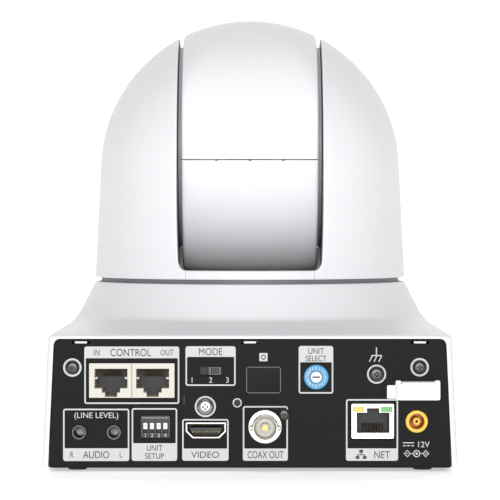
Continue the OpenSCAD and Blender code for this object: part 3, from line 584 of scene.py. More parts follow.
class Printing:
    """Collects what is printed on the panel into one thin mesh."""

    def __init__(self, name, look, lift=0.0, bold=0.0):
        self.name, self.look = name, look
        self.lift, self.bold = lift, bold
        self.verts, self.faces = [], []

    def add(self, verts, faces):
        start = len(self.verts)
        self.verts += [tuple(v) for v in verts]
        self.faces += [[i + start for i in f] for f in faces]

    def shape(self, outer, holes=(), height=0.05):
        self.add(*plate_geometry(outer, holes, self.lift, self.lift + height))

    def frame(self, x0, x1, z0, z1, line=0.55, r=0.9, below=None, above=None):
        """Outline of a box from its outer edges; it is filled below or above a height to carry a label."""
        low = z0 + line if below is None else below
        high = z1 - line if above is None else above
        inner = rounded_rect((x0 + x1) / 2, (low + high) / 2, x1 - x0 - 2 * line, high - low, 0.35)
        self.shape(rounded_rect((x0 + x1) / 2, (z0 + z1) / 2, x1 - x0, z1 - z0, r), [inner])

    def bar(self, x0, x1, z0, z1):
        self.shape([(x0, z0), (x1, z0), (x1, z1), (x0, z1)])

    def ring(self, x, z, r_out, r_in, steps=48):
        self.shape(circle(x, z, r_out, steps), [circle(x, z, r_in, steps)])

    def text(self, words, x, z, height, squeeze=1.0):
        """Generic words, centred, with capitals of a height in millimetres."""
        curve = bpy.data.curves.new("words", "FONT")
        curve.body = words
        curve.size = height * MM / 0.72
        curve.align_x = "CENTER"
        curve.offset = self.bold * height * MM
        curve.extrude = 0.025 * MM
        holder = bpy.data.objects.new("words", curve)
        mesh = holder.to_mesh()
        place = Matrix.Translation(Vector(on_panel(x, z - height / 2, self.lift + 0.025)))
        place = place @ Matrix.Rotation(math.pi / 2, 4, "X")
        place = place @ Matrix.Diagonal((squeeze / MM, 1 / MM, 1 / MM, 1))
        self.add([place @ v.co for v in mesh.vertices], [list(p.vertices) for p in mesh.polygons])
        holder.to_mesh_clear()
        bpy.data.objects.remove(holder)
        bpy.data.curves.remove(curve)

    def finish(self):
        return make_object(self.name, self.verts, self.faces, self.look, "base", smooth=False)


# boxes round the connectors: left, right, low and high edge, and where the band with the label begins
FRAMES_LABEL_ABOVE = (
    (-62.3, -26.6, 25.4, 47.0, 42.6), (-24.25, -5.4, 32.2, 47.1, 43.1), (18.3, 31.3, 29.3, 47.2, 41.1),
)
FRAMES_LABEL_BELOW = (
    (-70.3, -45.4, 3.9, 23.6, 8.7), (-44.5, -27.4, 3.95, 23.8, 10.6), (-25.5, -8.05, 4.0, 19.7, 8.6),
    (-2.7, 14.25, 4.0, 24.6, 8.6), (36.1, 55.7, 4.0, 27.2, 8.65),
)
# generic words: the word, its place, its height and how far it is squeezed
LIGHT_WORDS = (
    ("1", -21.8, 34.45, 2.1), ("2", -14.8, 34.45, 2.1), ("3", -8.5, 34.45, 2.1),
    ("(LINE LEVEL)", -57.8, 21.2, 2.2, 1.0),
)
DARK_WORDS = (
    ("IN", -57.6, 44.8, 2.2, 0.78), ("CONTROL", -44.9, 44.8, 2.8, 0.82), ("OUT", -31.2, 44.8, 2.2, 0.78),
    ("MODE", -14.85, 45.1, 2.7, 0.85), ("UNIT", 24.8, 45.35, 2.2, 0.85), ("SELECT", 24.8, 42.55, 2.2, 0.8),
    ("R", -67.1, 6.35, 2.2, 0.8), ("AUDIO", -57.8, 6.35, 2.8, 0.8), ("L", -48.6, 6.35, 2.2, 0.8),
    ("UNIT", -35.95, 8.9, 2.2, 0.85), ("SETUP", -35.95, 5.85, 2.2, 0.85), ("VIDEO", -16.8, 6.35, 2.5, 1.05),
    ("COAX OUT", 5.8, 6.35, 2.8, 0.66),
)


def panel_printing():
    """Light frames and bands on the black panel, and the words on them; the words are generic ones."""
    ink = Printing("panel_printing", "print_light")
    for edges in FRAMES_LABEL_ABOVE:
        ink.frame(*edges[:4], above=edges[4])
    for edges in FRAMES_LABEL_BELOW:
        ink.frame(*edges[:4], below=edges[4])
    for words in LIGHT_WORDS:
        ink.text(*words)
    ground_symbol(ink)
    power_symbols(ink)
    for place, r_out, r_in in ((BLACK_SCREWS[0][0], 3.46, 2.72), (BLACK_SCREWS[1][0], 3.46, 2.72),
                               (SILVER_SCREW, 3.97, 3.3), (GROUND_SCREW, 3.6, 2.95)):
        ink.ring(*place, r_out, r_in)
    ink.ring(*PIN_HOLE, 1.73, 1.3, 24)
    ink.shape(rounded_rect(5.05, 43.0, 3.1, 3.1, 0.3))

    dark = Printing("panel_lettering", "print_dark", lift=0.05)
    for words in DARK_WORDS:
        dark.text(*words)
    network_symbol(dark, 41.8, 6.4)
    dark.text("NET", 49.6, 6.35, 2.8, 0.85)
    dark.ring(5.05, 43.0, 0.95, 0.6, 24)
    dark.bar(4.9, 5.2, 41.9, 42.3)

    dim = Printing("window_outline", "print_dim")
    dim.frame(WINDOW[0] - 6.5, WINDOW[0] + 6.5, WINDOW[1] - 4.95, WINDOW[1] + 4.95, line=0.28, r=0.95)
    for layer in (ink, dark, dim):
        layer.finish()


def network_symbol(ink, x, z):
    """Three small boxes joined by lines."""
    ink.bar(x - 0.7, x + 0.7, z + 0.6, z + 1.8)
    ink.bar(x - 0.15, x + 0.15, z - 0.1, z + 0.6)
    ink.bar(x - 1.5, x + 1.5, z - 0.3, z)
    for dx in (-1.35, 1.35):
        ink.bar(x + dx - 0.7, x + dx + 0.7, z - 1.7, z - 0.6)
        ink.bar(x + dx - 0.15, x + dx + 0.15, z - 0.6, z - 0.2)


def ground_symbol(ink):
    """Chassis earth: a stem, a bar and three slanted legs."""
    ink.bar(47.35, 47.75, 43.7, 46.7)
    ink.bar(45.6, 49.6, 43.4, 43.8)
    for x in (45.8, 47.55, 49.3):
        ink.shape([(x, 43.5), (x - 1.1, 41.3), (x - 0.7, 41.3), (x + 0.4, 43.5)])


def power_symbols(ink):
    """Direct current mark, voltage and polarity below the power jack."""
    ink.bar(57.5, 61.7, 10.6, 10.95)
    for x in (57.5, 59.05, 60.6):
        ink.bar(x, x + 1.1, 9.5, 9.85)
    ink.text("12V", 65.1, 10.2, 2.2)
    for x, plus in ((59.2, False), (66.1, True)):
        ink.ring(x, 6.7, 1.35, 1.0, 4)
        ink.bar(x - 0.45, x + 0.45, 6.6, 6.82)
        if plus:
            ink.bar(x - 0.11, x + 0.11, 6.25, 7.15)
    ink.ring(62.7, 6.7, 1.35, 1.0, 40)
    ink.shape(circle(62.7, 6.7, 0.45, 24))
    ink.bar(60.5, 61.4, 6.6, 6.82)
    ink.bar(64.0, 64.8, 6.6, 6.82)


def crosshead_screw(name, x, z, r, height, look, dome):
    """Domed pan head with a cut cross, and its shank through the panel."""
    crown = 0.42 * r
    slot, arm = 0.13 * r, 0.36 * r
    floor = height - 0.32 * r
    cross = [(arm, slot), (slot, slot), (slot, arm), (-slot, arm), (-slot, slot), (-arm, slot),
             (-arm, -slot), (-slot, -slot), (-slot, -arm), (slot, -arm), (slot, -slot), (arm, -slot)]
    flat, faces, loops = flat_fill(circle(0, 0, crown, 48), [cross])
    n = len(flat)
    points = [(x + a, FACE_Y - height, z + b) for a, b in flat]
    points += [(x + a * 0.5, FACE_Y - floor, z + b * 0.5) for a, b in cross]
    solid = [list(f) for f in faces]
    for i, a in enumerate(loops[1]):
        solid.append([a, loops[1][(i + 1) % 12], n + (i + 1) % 12, n + i])
    solid.append([n + i for i in range(12)])
    profile = [(crown + (r - crown) * math.sin(math.radians(t)),
                height - dome * 1.6 * (1 - math.cos(math.radians(t)))) for t in range(0, 91, 10)]
    profile = [(a, max(d, 0.25)) for a, d in profile] + [(r, 0.02), (1.45, 0.02), (1.45, -8), (0.01, -8)]
    shank, shank_faces = lathe_geometry(profile, on_panel(x, z), "out", 48)
    start = len(points)
    points += shank
    solid += [[i + start for i in f] for f in shank_faces]
    return make_object(name, points, solid, look, "base", sharp=32)


def screws():
    """Four black screws that hold the panel and the bright one by the video socket."""
    for i, (place, r, h) in enumerate(BLACK_SCREWS):
        screw = crosshead_screw(f"panel_screw_{i + 1}", *place, r, h, "black_screw", 0.45)
        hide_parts("panel_screws")
    screw = crosshead_screw("retaining_screw", *SILVER_SCREW, 3.1, 1.8, "steel_screw", 0.7)
    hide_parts("silver_screw")


def plug_opening(x, z, w, h, step=0):
    """Outline of a modular plug opening whose latch way points down (step -1) or up (step 1)."""
    l, r, b, t = x - w / 2, x + w / 2, z - h / 2, z + h / 2
    if step < 0:
        way = [(-3.45, 0), (-3.45, -1.6), (-2.3, -1.6), (-2.3, -3.2), (2.3, -3.2), (2.3, -1.6), (3.45, -1.6),
               (3.45, 0)]
        return [(r, t), (l, t), (l, b), *[(x + dx, b + dz) for dx, dz in way], (r, b)]
    way = [(2.35, 0), (2.35, 1.65), (-2.35, 1.65), (-2.35, 0)]
    return [(r, b), (r, t), *[(x + dx, t + dz) for dx, dz in way], (l, t), (l, b)]


def contact_comb(name, x, z_low, count, pitch, d0, d1, rise):
    """Row of sprung contact wires that slope up into a plug opening."""
    verts, faces = [], []
    for i in range(count):
        cx = x + (i - (count - 1) / 2) * pitch
        path = [(z_low, d1), (z_low + 0.2, d1 - 0.9), (z_low + rise, d0)]
        start = len(verts)
        for z, d in path:
            verts += [on_panel(cx + sx * 0.22, z + sz * 0.16, d) for sx, sz in SQUARE]
        faces += grid_faces(3, 4, closed=True, start=start)
    return make_object(name, verts, faces, "gold_contact", "base", smooth=False)


def cavity_back(name, outline, depth):
    """Dark floor at the bottom of an opening: painted shade that stands in for the shade deep inside it."""
    return plate(name, outline, [], depth - 0.4, depth, "painted_recess_shade", edge=0)


def serial_port_block():
    """Twin modular sockets in one pale housing."""
    openings = [plug_opening(x, SERIAL[1] + 0.75, PLUG_W, 7.4, -1) for x in SERIAL_PORTS]
    plate("serial_port_face", rounded_rect(*SERIAL, 32.1, 12.95, 0.3), openings, -12.7, 0.3,
          "port_housing", node="serial_port_block", edge=0.12)
    cavity_back("serial_port_back", rounded_rect(*SERIAL, 32.0, 12.9, 0.3), -12.6)
    for i, x in enumerate(SERIAL_PORTS):
        contact_comb(f"serial_contacts_{i + 1}", x, 38.0, 8, CONTACT_PITCH, -9.5, -3.2, -2.6)
        for side in (-1, 1):
            plate(f"serial_guide_{i + 1}_{side_name(side)}",
                  [(x + side * 6.2, 35.4), (x + side * 5.1, 35.4), (x + side * 5.1, 34.7),
                   (x + side * 6.2, 34.7)],
                  [], -9, -0.6, "port_housing", edge=0.1)
    # split line between the metal shield and the moulding round each opening
    ink = Printing("serial_port_seam", "seam_grey")
    ink.add(*plate_geometry(rounded_rect(SERIAL[0], SERIAL[1], 0.35, 12.4, 0.1, 2), [], 0.3, 0.33))
    ink.finish()


def network_socket():
    """Shielded modular socket with two lamps and a spring on each side."""
    x, z = NETWORK
    opening = plug_opening(x + 0.15, z - 0.55, PLUG_W, 7.7, 1)
    lamps = [rounded_rect(x + side * 5.25, z + 4.5, 4.3, 2.0, 0.3, 3) for side in (-1, 1)]
    plate("network_socket_face", rounded_rect(x, z, 15.9, 13, 0.5), [opening, *lamps], -12.7, 0.4,
          "nickel_shield", node="network_socket", edge=0.15)
    cavity_back("network_socket_back", rounded_rect(x, z, 15.8, 12.9, 0.4), -12.6)
    contact_comb("network_contacts", x + 0.15, z - 3.9, 8, CONTACT_PITCH, -9.5, -2.6, 2.4)
    for side, look, name in ((-1, "lamp_amber", "activity_lamp"), (1, "lamp_green", "link_lamp")):
        outline = rounded_rect(x + side * 5.25, z + 4.5, 4.1, 1.85, 0.3, 3)
        lamp = plate(name, outline, [], -3, 0.45, look, edge=0.2)
        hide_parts("network_lamps")
    for side in (-1, 1):
        plate(f"network_spring_{side_name(side)}",
              rounded_rect(x + side * 7.2, z - 1.5, 0.7, 4.2, 0.3,
                           3), [], 0.4, 0.65, "nickel_shield", edge=0.1)


def video_socket():
    """Metal rim, tongue and the row of contacts under it."""
    plate("video_socket_rim", video_outline(0), [video_outline(0.5)], -12, 0.35, "nickel_shield",
          node="video_socket_shell", edge=0.1)
    cavity_back("video_socket_back", video_outline(0.4), -11.5)
    x, z = VIDEO
    plate("video_tongue", rounded_rect(x, z + 0.2, 11.6, 1.6, 0.3, 3), [], -11, -0.8, "black_plastic",
          node="video_socket_tongue", edge=0.15)
    for i in range(10):
        cx = x + (i - 4.5) * 1.05
        plate(f"video_contact_{i + 1}", rounded_rect(cx, z - 0.65, 0.42, 0.14, 0.05, 2), [], -8, -1.2,
              "gold_contact", edge=0)


def coax_socket():
    """Bayonet socket: round flange, turned barrel with two lugs, white insulator, gold contact."""
    x, z = COAX
    plate("coax_flange", circle(x, z, 6.35, 64), [circle(x, z, 4.6, 64)], 0, 1.6, "nickel_shield",
          node="coax_socket", edge=0.35)
    turned("coax_barrel", [(4.0, -4), (4.0, 10.1), (4.25, 10.45), (4.6, 10.5), (4.85, 10.2), (4.85, 8.6),
                           (4.5, 8.3),
                           (4.5, 3.4), (4.85, 3.1), (4.85, -3), (5.2, -3), (5.2, -16)],
           COAX, "nickel_shield")
    for side in (-1, 1):
        lathe(f"coax_lug_{side_name(side)}",
              [(0.01, 5.85), (0.75, 5.8), (0.95, 5.55), (0.95, 4.3)] if side > 0 else
              [(0.95, -4.3), (0.95, -5.55), (0.75, -5.8), (0.01, -5.85)],
              on_panel(x, z, 7), "x", "nickel_shield", "base", steps=24)
    turned("coax_insulator", [(3.95, -4), (3.95, 1.5), (3.6, 1.9), (1.9, 2.0), (1.6, 6.4), (1.15, 6.6),
                              (1.1, 1.0)],
           COAX, "insulator")
    turned("coax_contact_pin", [(1.1, -2.5), (1.1, 6.7), (0.95, 7.0), (0.55, 7.0), (0.5, 6.6), (0.5, 1.0),
                                (0.01, 1.0)],
           COAX, "gold_contact", "coax_contact", steps=32)


def audio_jacks():
    """Two round jacks with their square bodies behind the panel."""
    for i, x in enumerate(AUDIO):
        profile = [(2.85, -4), (2.85, 0.5), (2.6, 0.8), (2.15, 0.8), (1.95, 0.55), (1.8, 0.2), (1.8, -13.2),
                   (0.01, -13.2)]
        jack = turned(f"audio_jack_{i + 1}", profile, (x, AUDIO_Z), "dark_jack")
        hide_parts("audio_jacks")
        turned(f"audio_jack_body_{i + 1}", [(0.01, -14), (4.0, -14), (4.0, -1.7), (2.9, -1.7)],
               (x, AUDIO_Z), "black_plastic", steps=4)


def power_jack():
    """Yellow rim, orange bore and centre pin."""
    turned("power_jack_rim", [(4.2, -3), (4.2, 0.35), (3.95, 0.6), (3.1, 0.6), (2.85, 0.35), (2.8, 0.0),
                              (2.8, -1.2)],
           POWER, "yellow_jack", "power_jack")
    turned("power_jack_bore", [(2.8, -1.2), (2.75, -10), (0.01, -10)], POWER, "jack_inner")
    turned("power_jack_pin", [(1.45, -10), (1.45, -0.25), (1.2, 0.0), (0.65, 0.0), (0.5, -0.2), (0.5, -8),
                              (0.01, -8)],
           POWER, "yellow_jack", steps=40)


def mode_switch():
    """Slide switch behind the panel with a ribbed knob."""
    x, z = MODE
    plate("mode_switch_housing", rounded_rect(x, z, 14, 7.6, 0.4), [rounded_rect(x, z, 8.4, 3.4, 0.2)],
          -5, -1.6, "black_plastic", node="mode_switch_body", edge=0.1)
    cavity_back("mode_switch_floor", rounded_rect(x, z, 13.8, 7.4, 0.4), -4.6)
    kx = x + 1.7
    ribs = [rounded_rect(kx + dx, z, 0.35, 2.3, 0.1, 2) for dx in (-1.2, -0.4, 0.4, 1.2)]
    plate("mode_knob", rounded_rect(kx, z, 4.7, 3.0, 0.25, 3), ribs, -4.4, -0.3, "grey_knob",
          body="mode_switch_knob", node="mode_switch_knob", edge=0.1)


def setup_switch():
    """Block of four small numbered slide switches."""
    x, z = SETUP
    columns = [x + (i - 2.5) * LEVER_PITCH for i in range(1, 5)]
    slots = [rounded_rect(cx, z - 0.35, 1.8, 3.9, 0.15, 2) for cx in columns]
    plate("setup_switch_housing", rounded_rect(x, z, 11, 8.2, 0.25), slots, -3.5, -0.3,
          "black_plastic", node="setup_switch_body", edge=0.1)
    cavity_back("setup_switch_floor", rounded_rect(x, z, 10.8, 8, 0.2), -3.4)
    ink = Printing("setup_switch_marks", "print_dim", lift=-0.3)
    ink.bar(x - 5.1, x + 5.1, z + 3.0, z + 3.7)
    marks = Printing("setup_switch_numbers", "print_light", lift=-0.3)
    for i, cx in enumerate(columns, 1):
        marks.text(str(i), cx, z - 3.2, 1.45)
    marks.finish()
    ink.finish()
    for i, cx in enumerate(columns, 1):
        plate(f"setup_lever_cap_{i}", rounded_rect(cx, z + 0.3, 1.5, 2.3, 0.15, 3),
              [rounded_rect(cx, z + 0.3, 0.8, 0.25, 0.08, 2)], -3.2, 0.2, "white_lever",
              body=f"setup_lever_{i}", node=f"setup_lever_{i}", edge=0.12)


def selector():
    """Rotary selector with sixteen marks and a slotted hub."""
    x, z = DIAL
    plate("selector_housing", rounded_rect(x, z, 13, 11.5, 0.5), [circle(x, z, 4.9)], -5.4, -1.6,
          "black_plastic", node="selector_body", edge=0.1)
    turned("selector_rotor", [(0.01, -5.2), (4.7, -5.2), (4.7, 0.2), (4.45, 0.5), (2.4, 0.5), (2.2, 0.35)],
           DIAL, "blue_dial", "selector_dial", "selector_dial")
    slot = [rounded_rect(x, z, 3.0, 0.6, 0.25, 3)]
    plate("selector_hub", circle(x, z, 2.1), slot, 0.0, 0.8, "white_lever", body="selector_dial", edge=0.15)
    plate("selector_hub_floor", circle(x, z, 1.9), [], 0.0, 0.15, "grey_knob", body="selector_dial", edge=0)
    marks = Printing("selector_dial_numbers", "print_light", lift=0.5, bold=0.03)
    for i, sign in enumerate("0123456789ABCDEF"):
        a = math.radians(90 - i * 22.5)
        marks.text(sign, x + 3.35 * math.cos(a), z + 3.35 * math.sin(a), 1.15)
    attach(marks.finish(), "selector_dial")


def rear_window():
    """Dark infrared window."""
    plate("rear_window_lens", rounded_rect(*WINDOW, 12.3, 9.25, 0.8), [], -2, 0.35, "infrared_window",
          node="rear_ir_window", edge=0.35)


def cable_clamp():
    """White clamp for the power cable: fixed back plate with ears, and the strap on its hinge pin."""
    cx, cz = 63.0, 30.6
    hz, hd = cz + 2.6, 1.6
    plate("clamp_plate", rounded_rect(cx, cz - 1.2, 16.6, 4.6, 0.5),
          [rounded_rect(cx, cz - 1.6, 6, 1.2, 0.5)],
          0, 1.8, "white_clamp", node="clamp_base", edge=0.3)
    plate("clamp_tab", rounded_rect(cx - 9.6, cz - 0.6, 3.8, 5, 0.5), [],
          0, 1.6, "white_clamp", edge=0.3)
    for side in (-1, 1):
        plate(f"clamp_ear_{side_name(side)}", rounded_rect(cx + side * 7.3, hz - 1, 2, 4.2, 0.4),
              [], 0, 2.7, "white_clamp", edge=0.25)
    # the strap's side outline, swept across its width: hinge eye, web, front plate
    section = [(hz - 0.7, hd - 0.2), (hz - 0.7, 6.5), (cz - 2.6, 6.6), (cz - 2.6, 7.3),
               (cz + 3.0, 7.3), (cz + 3.5, 6.8), (cz + 3.5, hd + 0.4), (cz + 3.1, hd - 0.5)]
    n = len(section)
    verts, faces = [], []
    for x in (cx - 6.2, cx + 6.2):
        verts += [on_panel(x, z, d) for z, d in section]
    faces += grid_faces(2, n, closed=True) + [list(range(n)), list(range(2 * n - 1, n - 1, -1))]
    strap = make_object("clamp_strap_web", verts, faces, "white_clamp", "clamp_strap", "clamp_strap",
                        smooth=False)
    soften(strap, 0.25)
    plate("clamp_strap_front", rounded_rect(cx, cz - 0.35, 16, 5.9, 0.7), [], 6.4, 7.8, "white_clamp",
          body="clamp_strap", edge=0.35)
    lathe("clamp_hinge_pin", [(0.01, -8.6), (0.45, -8.6), (0.55, -8.4), (0.55, 8.4), (0.45, 8.6),
                              (0.01, 8.6)],
          on_panel(cx, hz, hd), "x", "steel_screw", "clamp_strap", steps=24)


# ---------- head ----------

HEAD_Z = ARM_LOW[2]
HEAD_R = ARM_HIGH[0]
DOME_R = 62.2
DOME_Z = TILT_Z - 9.7
JOIN_Z = DOME_Z + 2.7
SLOT_RISE = 4.2
JOIN_ANGLE = 2.49
SLOT_X = 29.2
CHIN_X = 25.5
REAR_SILL = HEAD_Z + 3.6
FRONT_SILL = HEAD_Z + 2.0


def head_radius(z):
    """Radius of the head's outside at a height."""
    if z <= JOIN_Z:
        join_r = math.sqrt(DOME_R ** 2 - (JOIN_Z - DOME_Z) ** 2)
        return HEAD_R + (join_r - HEAD_R) * (z - HEAD_Z) / (JOIN_Z - HEAD_Z)
    return math.sqrt(max(0.0, DOME_R ** 2 - (z - DOME_Z) ** 2))


def head_normal(point):
    """Outward normal of the head at a point on it."""
    x, y, z = point
    flat = Vector((x, y, 0)).normalized()
    if z <= JOIN_Z:
        return (flat + Vector((0, 0, 0.05))).normalized()
    return Vector((x, y, z - DOME_Z)).normalized()


def slot_edge(z, sill):
    """Half width of the opening between the arms at a height: it narrows a little towards its round foot."""
    x = SLOT_X - 0.9 * max(0.0, (106 - z) / 32) ** 2
    if z < sill:
        return CHIN_X
    if z < sill + SLOT_RISE:
        k = 1 - (z - sill) / SLOT_RISE
        x = CHIN_X + (x - CHIN_X) * math.sqrt(max(0.0, 1 - k * k))
    return x


def arm_rows(sill):
    """Heights of the rows of an arm, from the lower edge to the tip."""
    low = [HEAD_Z, HEAD_Z + 0.15, HEAD_Z + 0.5, HEAD_Z + 1.2, sill - 0.02]
    foot = [sill + SLOT_RISE * (1 - math.cos(math.radians(a))) for a in range(6, 91, 7)]
    cone = [foot[-1] + (JOIN_Z - foot[-1]) * i / 16 for i in range(1, 17)]
    tip = math.degrees(math.acos(SLOT_X / DOME_R))
    climbs = [math.sin(math.radians(90 * i / 40)) for i in range(1, 41)]
    dome = [DOME_Z + DOME_R * math.sin(math.radians(JOIN_ANGLE + (tip - JOIN_ANGLE) * k)) for k in climbs]
    return low + foot + cone + dome


def arm_half_grid(side, back, sill, round_r=0.9):
    """Rows of points over one quarter of the head: slot wall, rounded edge, outer surface to the side."""
    rows = []
    for z in arm_rows(sill):
        lower = min(1.0, (z - HEAD_Z) / 0.5)
        r = head_radius(z) - 0.45 * (1 - math.sqrt(max(0.0, 1 - (1 - lower) ** 2)))
        edge = min(slot_edge(z, sill), r)
        radius = round_r if z > sill else 0.2
        corner = Vector((edge, math.sqrt(max(0.0, r * r - edge * edge)), z))
        normal = head_normal(corner)
        wall_normal = Vector((-1, 0, 0))
        inward = -normal + normal.dot(wall_normal) * wall_normal
        inward.normalize()
        along = Vector((1, 0, 0)) - Vector((1, 0, 0)).dot(normal) * normal
        along.normalize()
        start = corner + along * radius
        on_wall = corner + inward * min(radius, max(corner.y, 0.2))
        deep = corner + inward * min(2.1 + radius * 0.1, max(corner.y, 0.2) + 2)
        rounded = bend(on_wall, corner, start, 5)
        start_angle = math.atan2(start.y, start.x)
        reach = math.hypot(start.x, start.y)
        sweep = [Vector((reach * math.cos(a), reach * math.sin(a), start.z))
                 for a in (start_angle * (1 - i / 26) for i in range(1, 27))]
        rows.append([deep, *rounded, *sweep])
    flip = -1 if back else 1
    return [[Vector((p.x * side, p.y * flip, p.z)) for p in row] for row in rows]


def arm_cover(side, name, node):
    """One arm's shell: its rear and front quarters."""
    verts, faces = [], []
    for back, sill in ((True, REAR_SILL), (False, FRONT_SILL)):
        rows = arm_half_grid(side, back, sill)
        # the lower edge turns in under the shell
        under = [Vector((p.x * 0.97, p.y * 0.97, p.z)) for p in rows[0]]
        rows.insert(0, under)
        start = len(verts)
        verts += [p for row in rows for p in row]
        faces += grid_faces(len(rows), len(rows[0]), start=start)
    make_object(name, verts, faces, "white_shell", "head", node, sharp=60)


def chin_strip(name, back, sill):
    """Strip of the head's lower edge between the arms."""
    sign = -1 if back else 1
    verts = []
    columns, count = 40, 10
    profile = [(HEAD_R - depth, z) for depth, z in (
        (4, HEAD_Z + 0.8), (4, sill - 0.5), (2.6, sill - 0.05), (0.9, sill - 0.05), (0.35, sill - 0.3),
        (0.15, sill - 0.9), (0.02, HEAD_Z + 0.5), (0.15, HEAD_Z + 0.12), (0.5, HEAD_Z), (2.1, HEAD_Z))]
    for i in range(columns + 1):
        x = (CHIN_X - 0.1) * (2 * i / columns - 1)
        verts += [Vector((x, sign * math.sqrt(r * r - x * x), z)) for r, z in profile]
    faces = grid_faces(columns + 1, count, closed=True)
    faces += [list(range(count)), list(range(columns * count + count - 1, columns * count - 1, -1))]
    make_object(name, verts, faces, "white_shell", "head", "chin_strips", sharp=45)


# ---------- drum ----------

DRUM_HALF = node_mm("drum_upper_cover")[1][0]
DRUM_R = 52.5
DRUM_END_R = 51.4
SEAM_Z = TILT_Z - 6.4
FRONT_CUT = 42.2
BARREL_ARC = (DRUM_HALF ** 2 + (DRUM_R - DRUM_END_R) ** 2) / (2 * (DRUM_R - DRUM_END_R))


def barrel_radius(x):
    """Radius of the drum's barrel at a distance from its middle."""
    return math.sqrt(BARREL_ARC ** 2 - x * x) - (BARREL_ARC - DRUM_R)


def drum_radius(x, angle):
    """Reach of the drum from the tilt axis: a barrel whose top blends into the head's dome."""
    barrel = barrel_radius(x)
    drop = (TILT_Z - DOME_Z) * math.sin(angle)
    dome = -drop + math.sqrt(drop * drop - (TILT_Z - DOME_Z) ** 2 - x * x + DOME_R ** 2)
    near = max(0.0, 1.6 - abs(barrel - dome)) / 1.6
    return min(barrel, dome) - near ** 3 * 1.6 / 6 * min(1.0, abs(x) / 20)


def drum_profile():
    """Half section of a drum cover, (x, inset from the outside), from one end face to the other."""
    rolled_edge = [(0, 31.0), (0, 6.0), (0, 1.3), (0.1, 0.75), (0.38, 0.34), (0.8, 0.09), (1.3, 0.0)]
    end = [(DRUM_HALF - back, inset) for back, inset in rolled_edge]
    middle = [((DRUM_HALF - 1.3) * (1 - i / 13), 0.0) for i in range(1, 27)]
    left = [(-x, inset) for x, inset in reversed(end)]
    return end + middle[:25] + left


def drum_cover(name, node, angles):
    """Cover swept about the tilt axis; angles gives a radius its first and last angle from +Y upwards."""
    rows = []
    steps = 72
    # the two ends of each sweep roll over and turn in: how far along, and how far inwards
    rolled = {-1: (0.12, 0.10), -2: (0.16, 0.35), -3: (0.16, 1.7)}
    for x, inset in drum_profile():
        first, last = angles(barrel_radius(x) - inset)
        row = []
        for i in range(-3, steps + 4):
            t = min(max(i / steps, 0.0), 1.0)
            over = min(i, steps - i)
            back, inwards = rolled.get(over, (0.34 if over == 0 else 0.0, 0.0))
            a = first + (last - first) * t
            reach = drum_radius(x, a) - inset
            a += (back if i < steps / 2 else -back) / max(reach, 10)
            reach -= inwards if inset < 1 else 0.0
            row.append(Vector((x, reach * math.cos(a), TILT_Z + reach * math.sin(a))))
        rows.append(row)
    make_object(name, [p for row in rows for p in row], grid_faces(len(rows), len(rows[0])),
                "white_shell", "drum", node, sharp=50)


def front_angle(r):
    """Angle at which the drum's front cut meets a radius."""
    return math.acos(min(1.0, FRONT_CUT / r)) if r > FRONT_CUT else math.radians(12)


def upper_angles(r):
    """From the front cut over the top to the rear seam."""
    return front_angle(r), math.pi + math.asin((TILT_Z - SEAM_Z - 0.05) / max(r, 7))


def lower_angles(r):
    """From the rear seam under the drum to the front cut."""
    return math.pi + math.asin((TILT_Z - SEAM_Z + 0.12) / max(r, 7)), 2 * math.pi - front_angle(r)


def seam_notches():
    """Three small openings under the rear seam, drawn as grey boxes: painted shade inside the openings."""
    for i, x in enumerate((-13.3, 0.0, 13.3)):
        y = -math.sqrt(barrel_radius(x) ** 2 - (TILT_Z - SEAM_Z) ** 2)
        verts = []
        for dy in (-0.06, 1.2):
            verts += [(x + sx * 0.55, y + dy, SEAM_Z - 0.3 + sz * 0.22) for sx, sz in SQUARE]
        faces = grid_faces(2, 4, closed=True) + [[0, 1, 2, 3], [7, 6, 5, 4]]
        notch = make_object(f"seam_notch_{i + 1}", verts, faces, "painted_notch_shade", "drum", smooth=False)
        soften(notch, 0.08, 2)


def lens_parts():
    """Barrel with a grip ring, hood with stepped baffles, and the coated front element."""
    reach = node_mm("lens_hood")[1][1]
    centre = (0, 0, TILT_Z)
    lathe("lens_barrel_tube",
          [(21.5, 32), (24, 32), (24, 46), (23.7, 46.4), (23.7, 47.2), (24, 47.6), (24, reach - 14),
           (23.6, reach - 13.5), (23.6, reach - 9), (21.5, reach - 8), (21.5, 34)],
          centre, "y", "lens_black", "drum", "lens_barrel", steps=128)
    hood = [(24.1, reach - 12), (24.6, reach - 12), (25, reach - 11.5), (25, reach - 0.6), (24.7, reach),
            (23.3, reach)]
    inner = []
    for i in range(6):
        y = reach - 0.4 - i * 1.1
        r = 23.0 - i * 0.72
        inner += [(r, y), (r - 0.1, y - 0.8), (r - 0.72, y - 1.0)]
    lathe("lens_hood_ring", hood + inner + [(18.6, reach - 7), (24.1, reach - 7)], centre, "y", "lens_black",
          "drum", "lens_hood", steps=128)
    glass = []
    for i in range(13):
        a = math.radians(25.2 * i / 12)
        glass.append((max(0.01, 50 * math.sin(a)), reach - 10 - 50 + 50 * math.cos(a)))
    glass += [(21.3, reach - 16), (0.01, reach - 16.2)]
    lathe("front_element", glass, centre, "y", "lens_glass", "drum", "front_glass", steps=128)
    lathe("lens_retainer", [(21.4, reach - 14.4), (21.4, reach - 13.4), (20.6, reach - 13.2),
                            (19.6, reach - 14.2)],
          centre, "y", "lens_cell", "drum", steps=96)


# ---------- stage ----------

FLOOR_HALF, FLOOR_FRONT = 4.0, -12.0
BACKDROP_Y, BACKDROP_R, BACKDROP_TOP = 2.2, 1.2, 4.0
PAPER_GLOW = 0.45
WORLD_LIGHT = 0.3
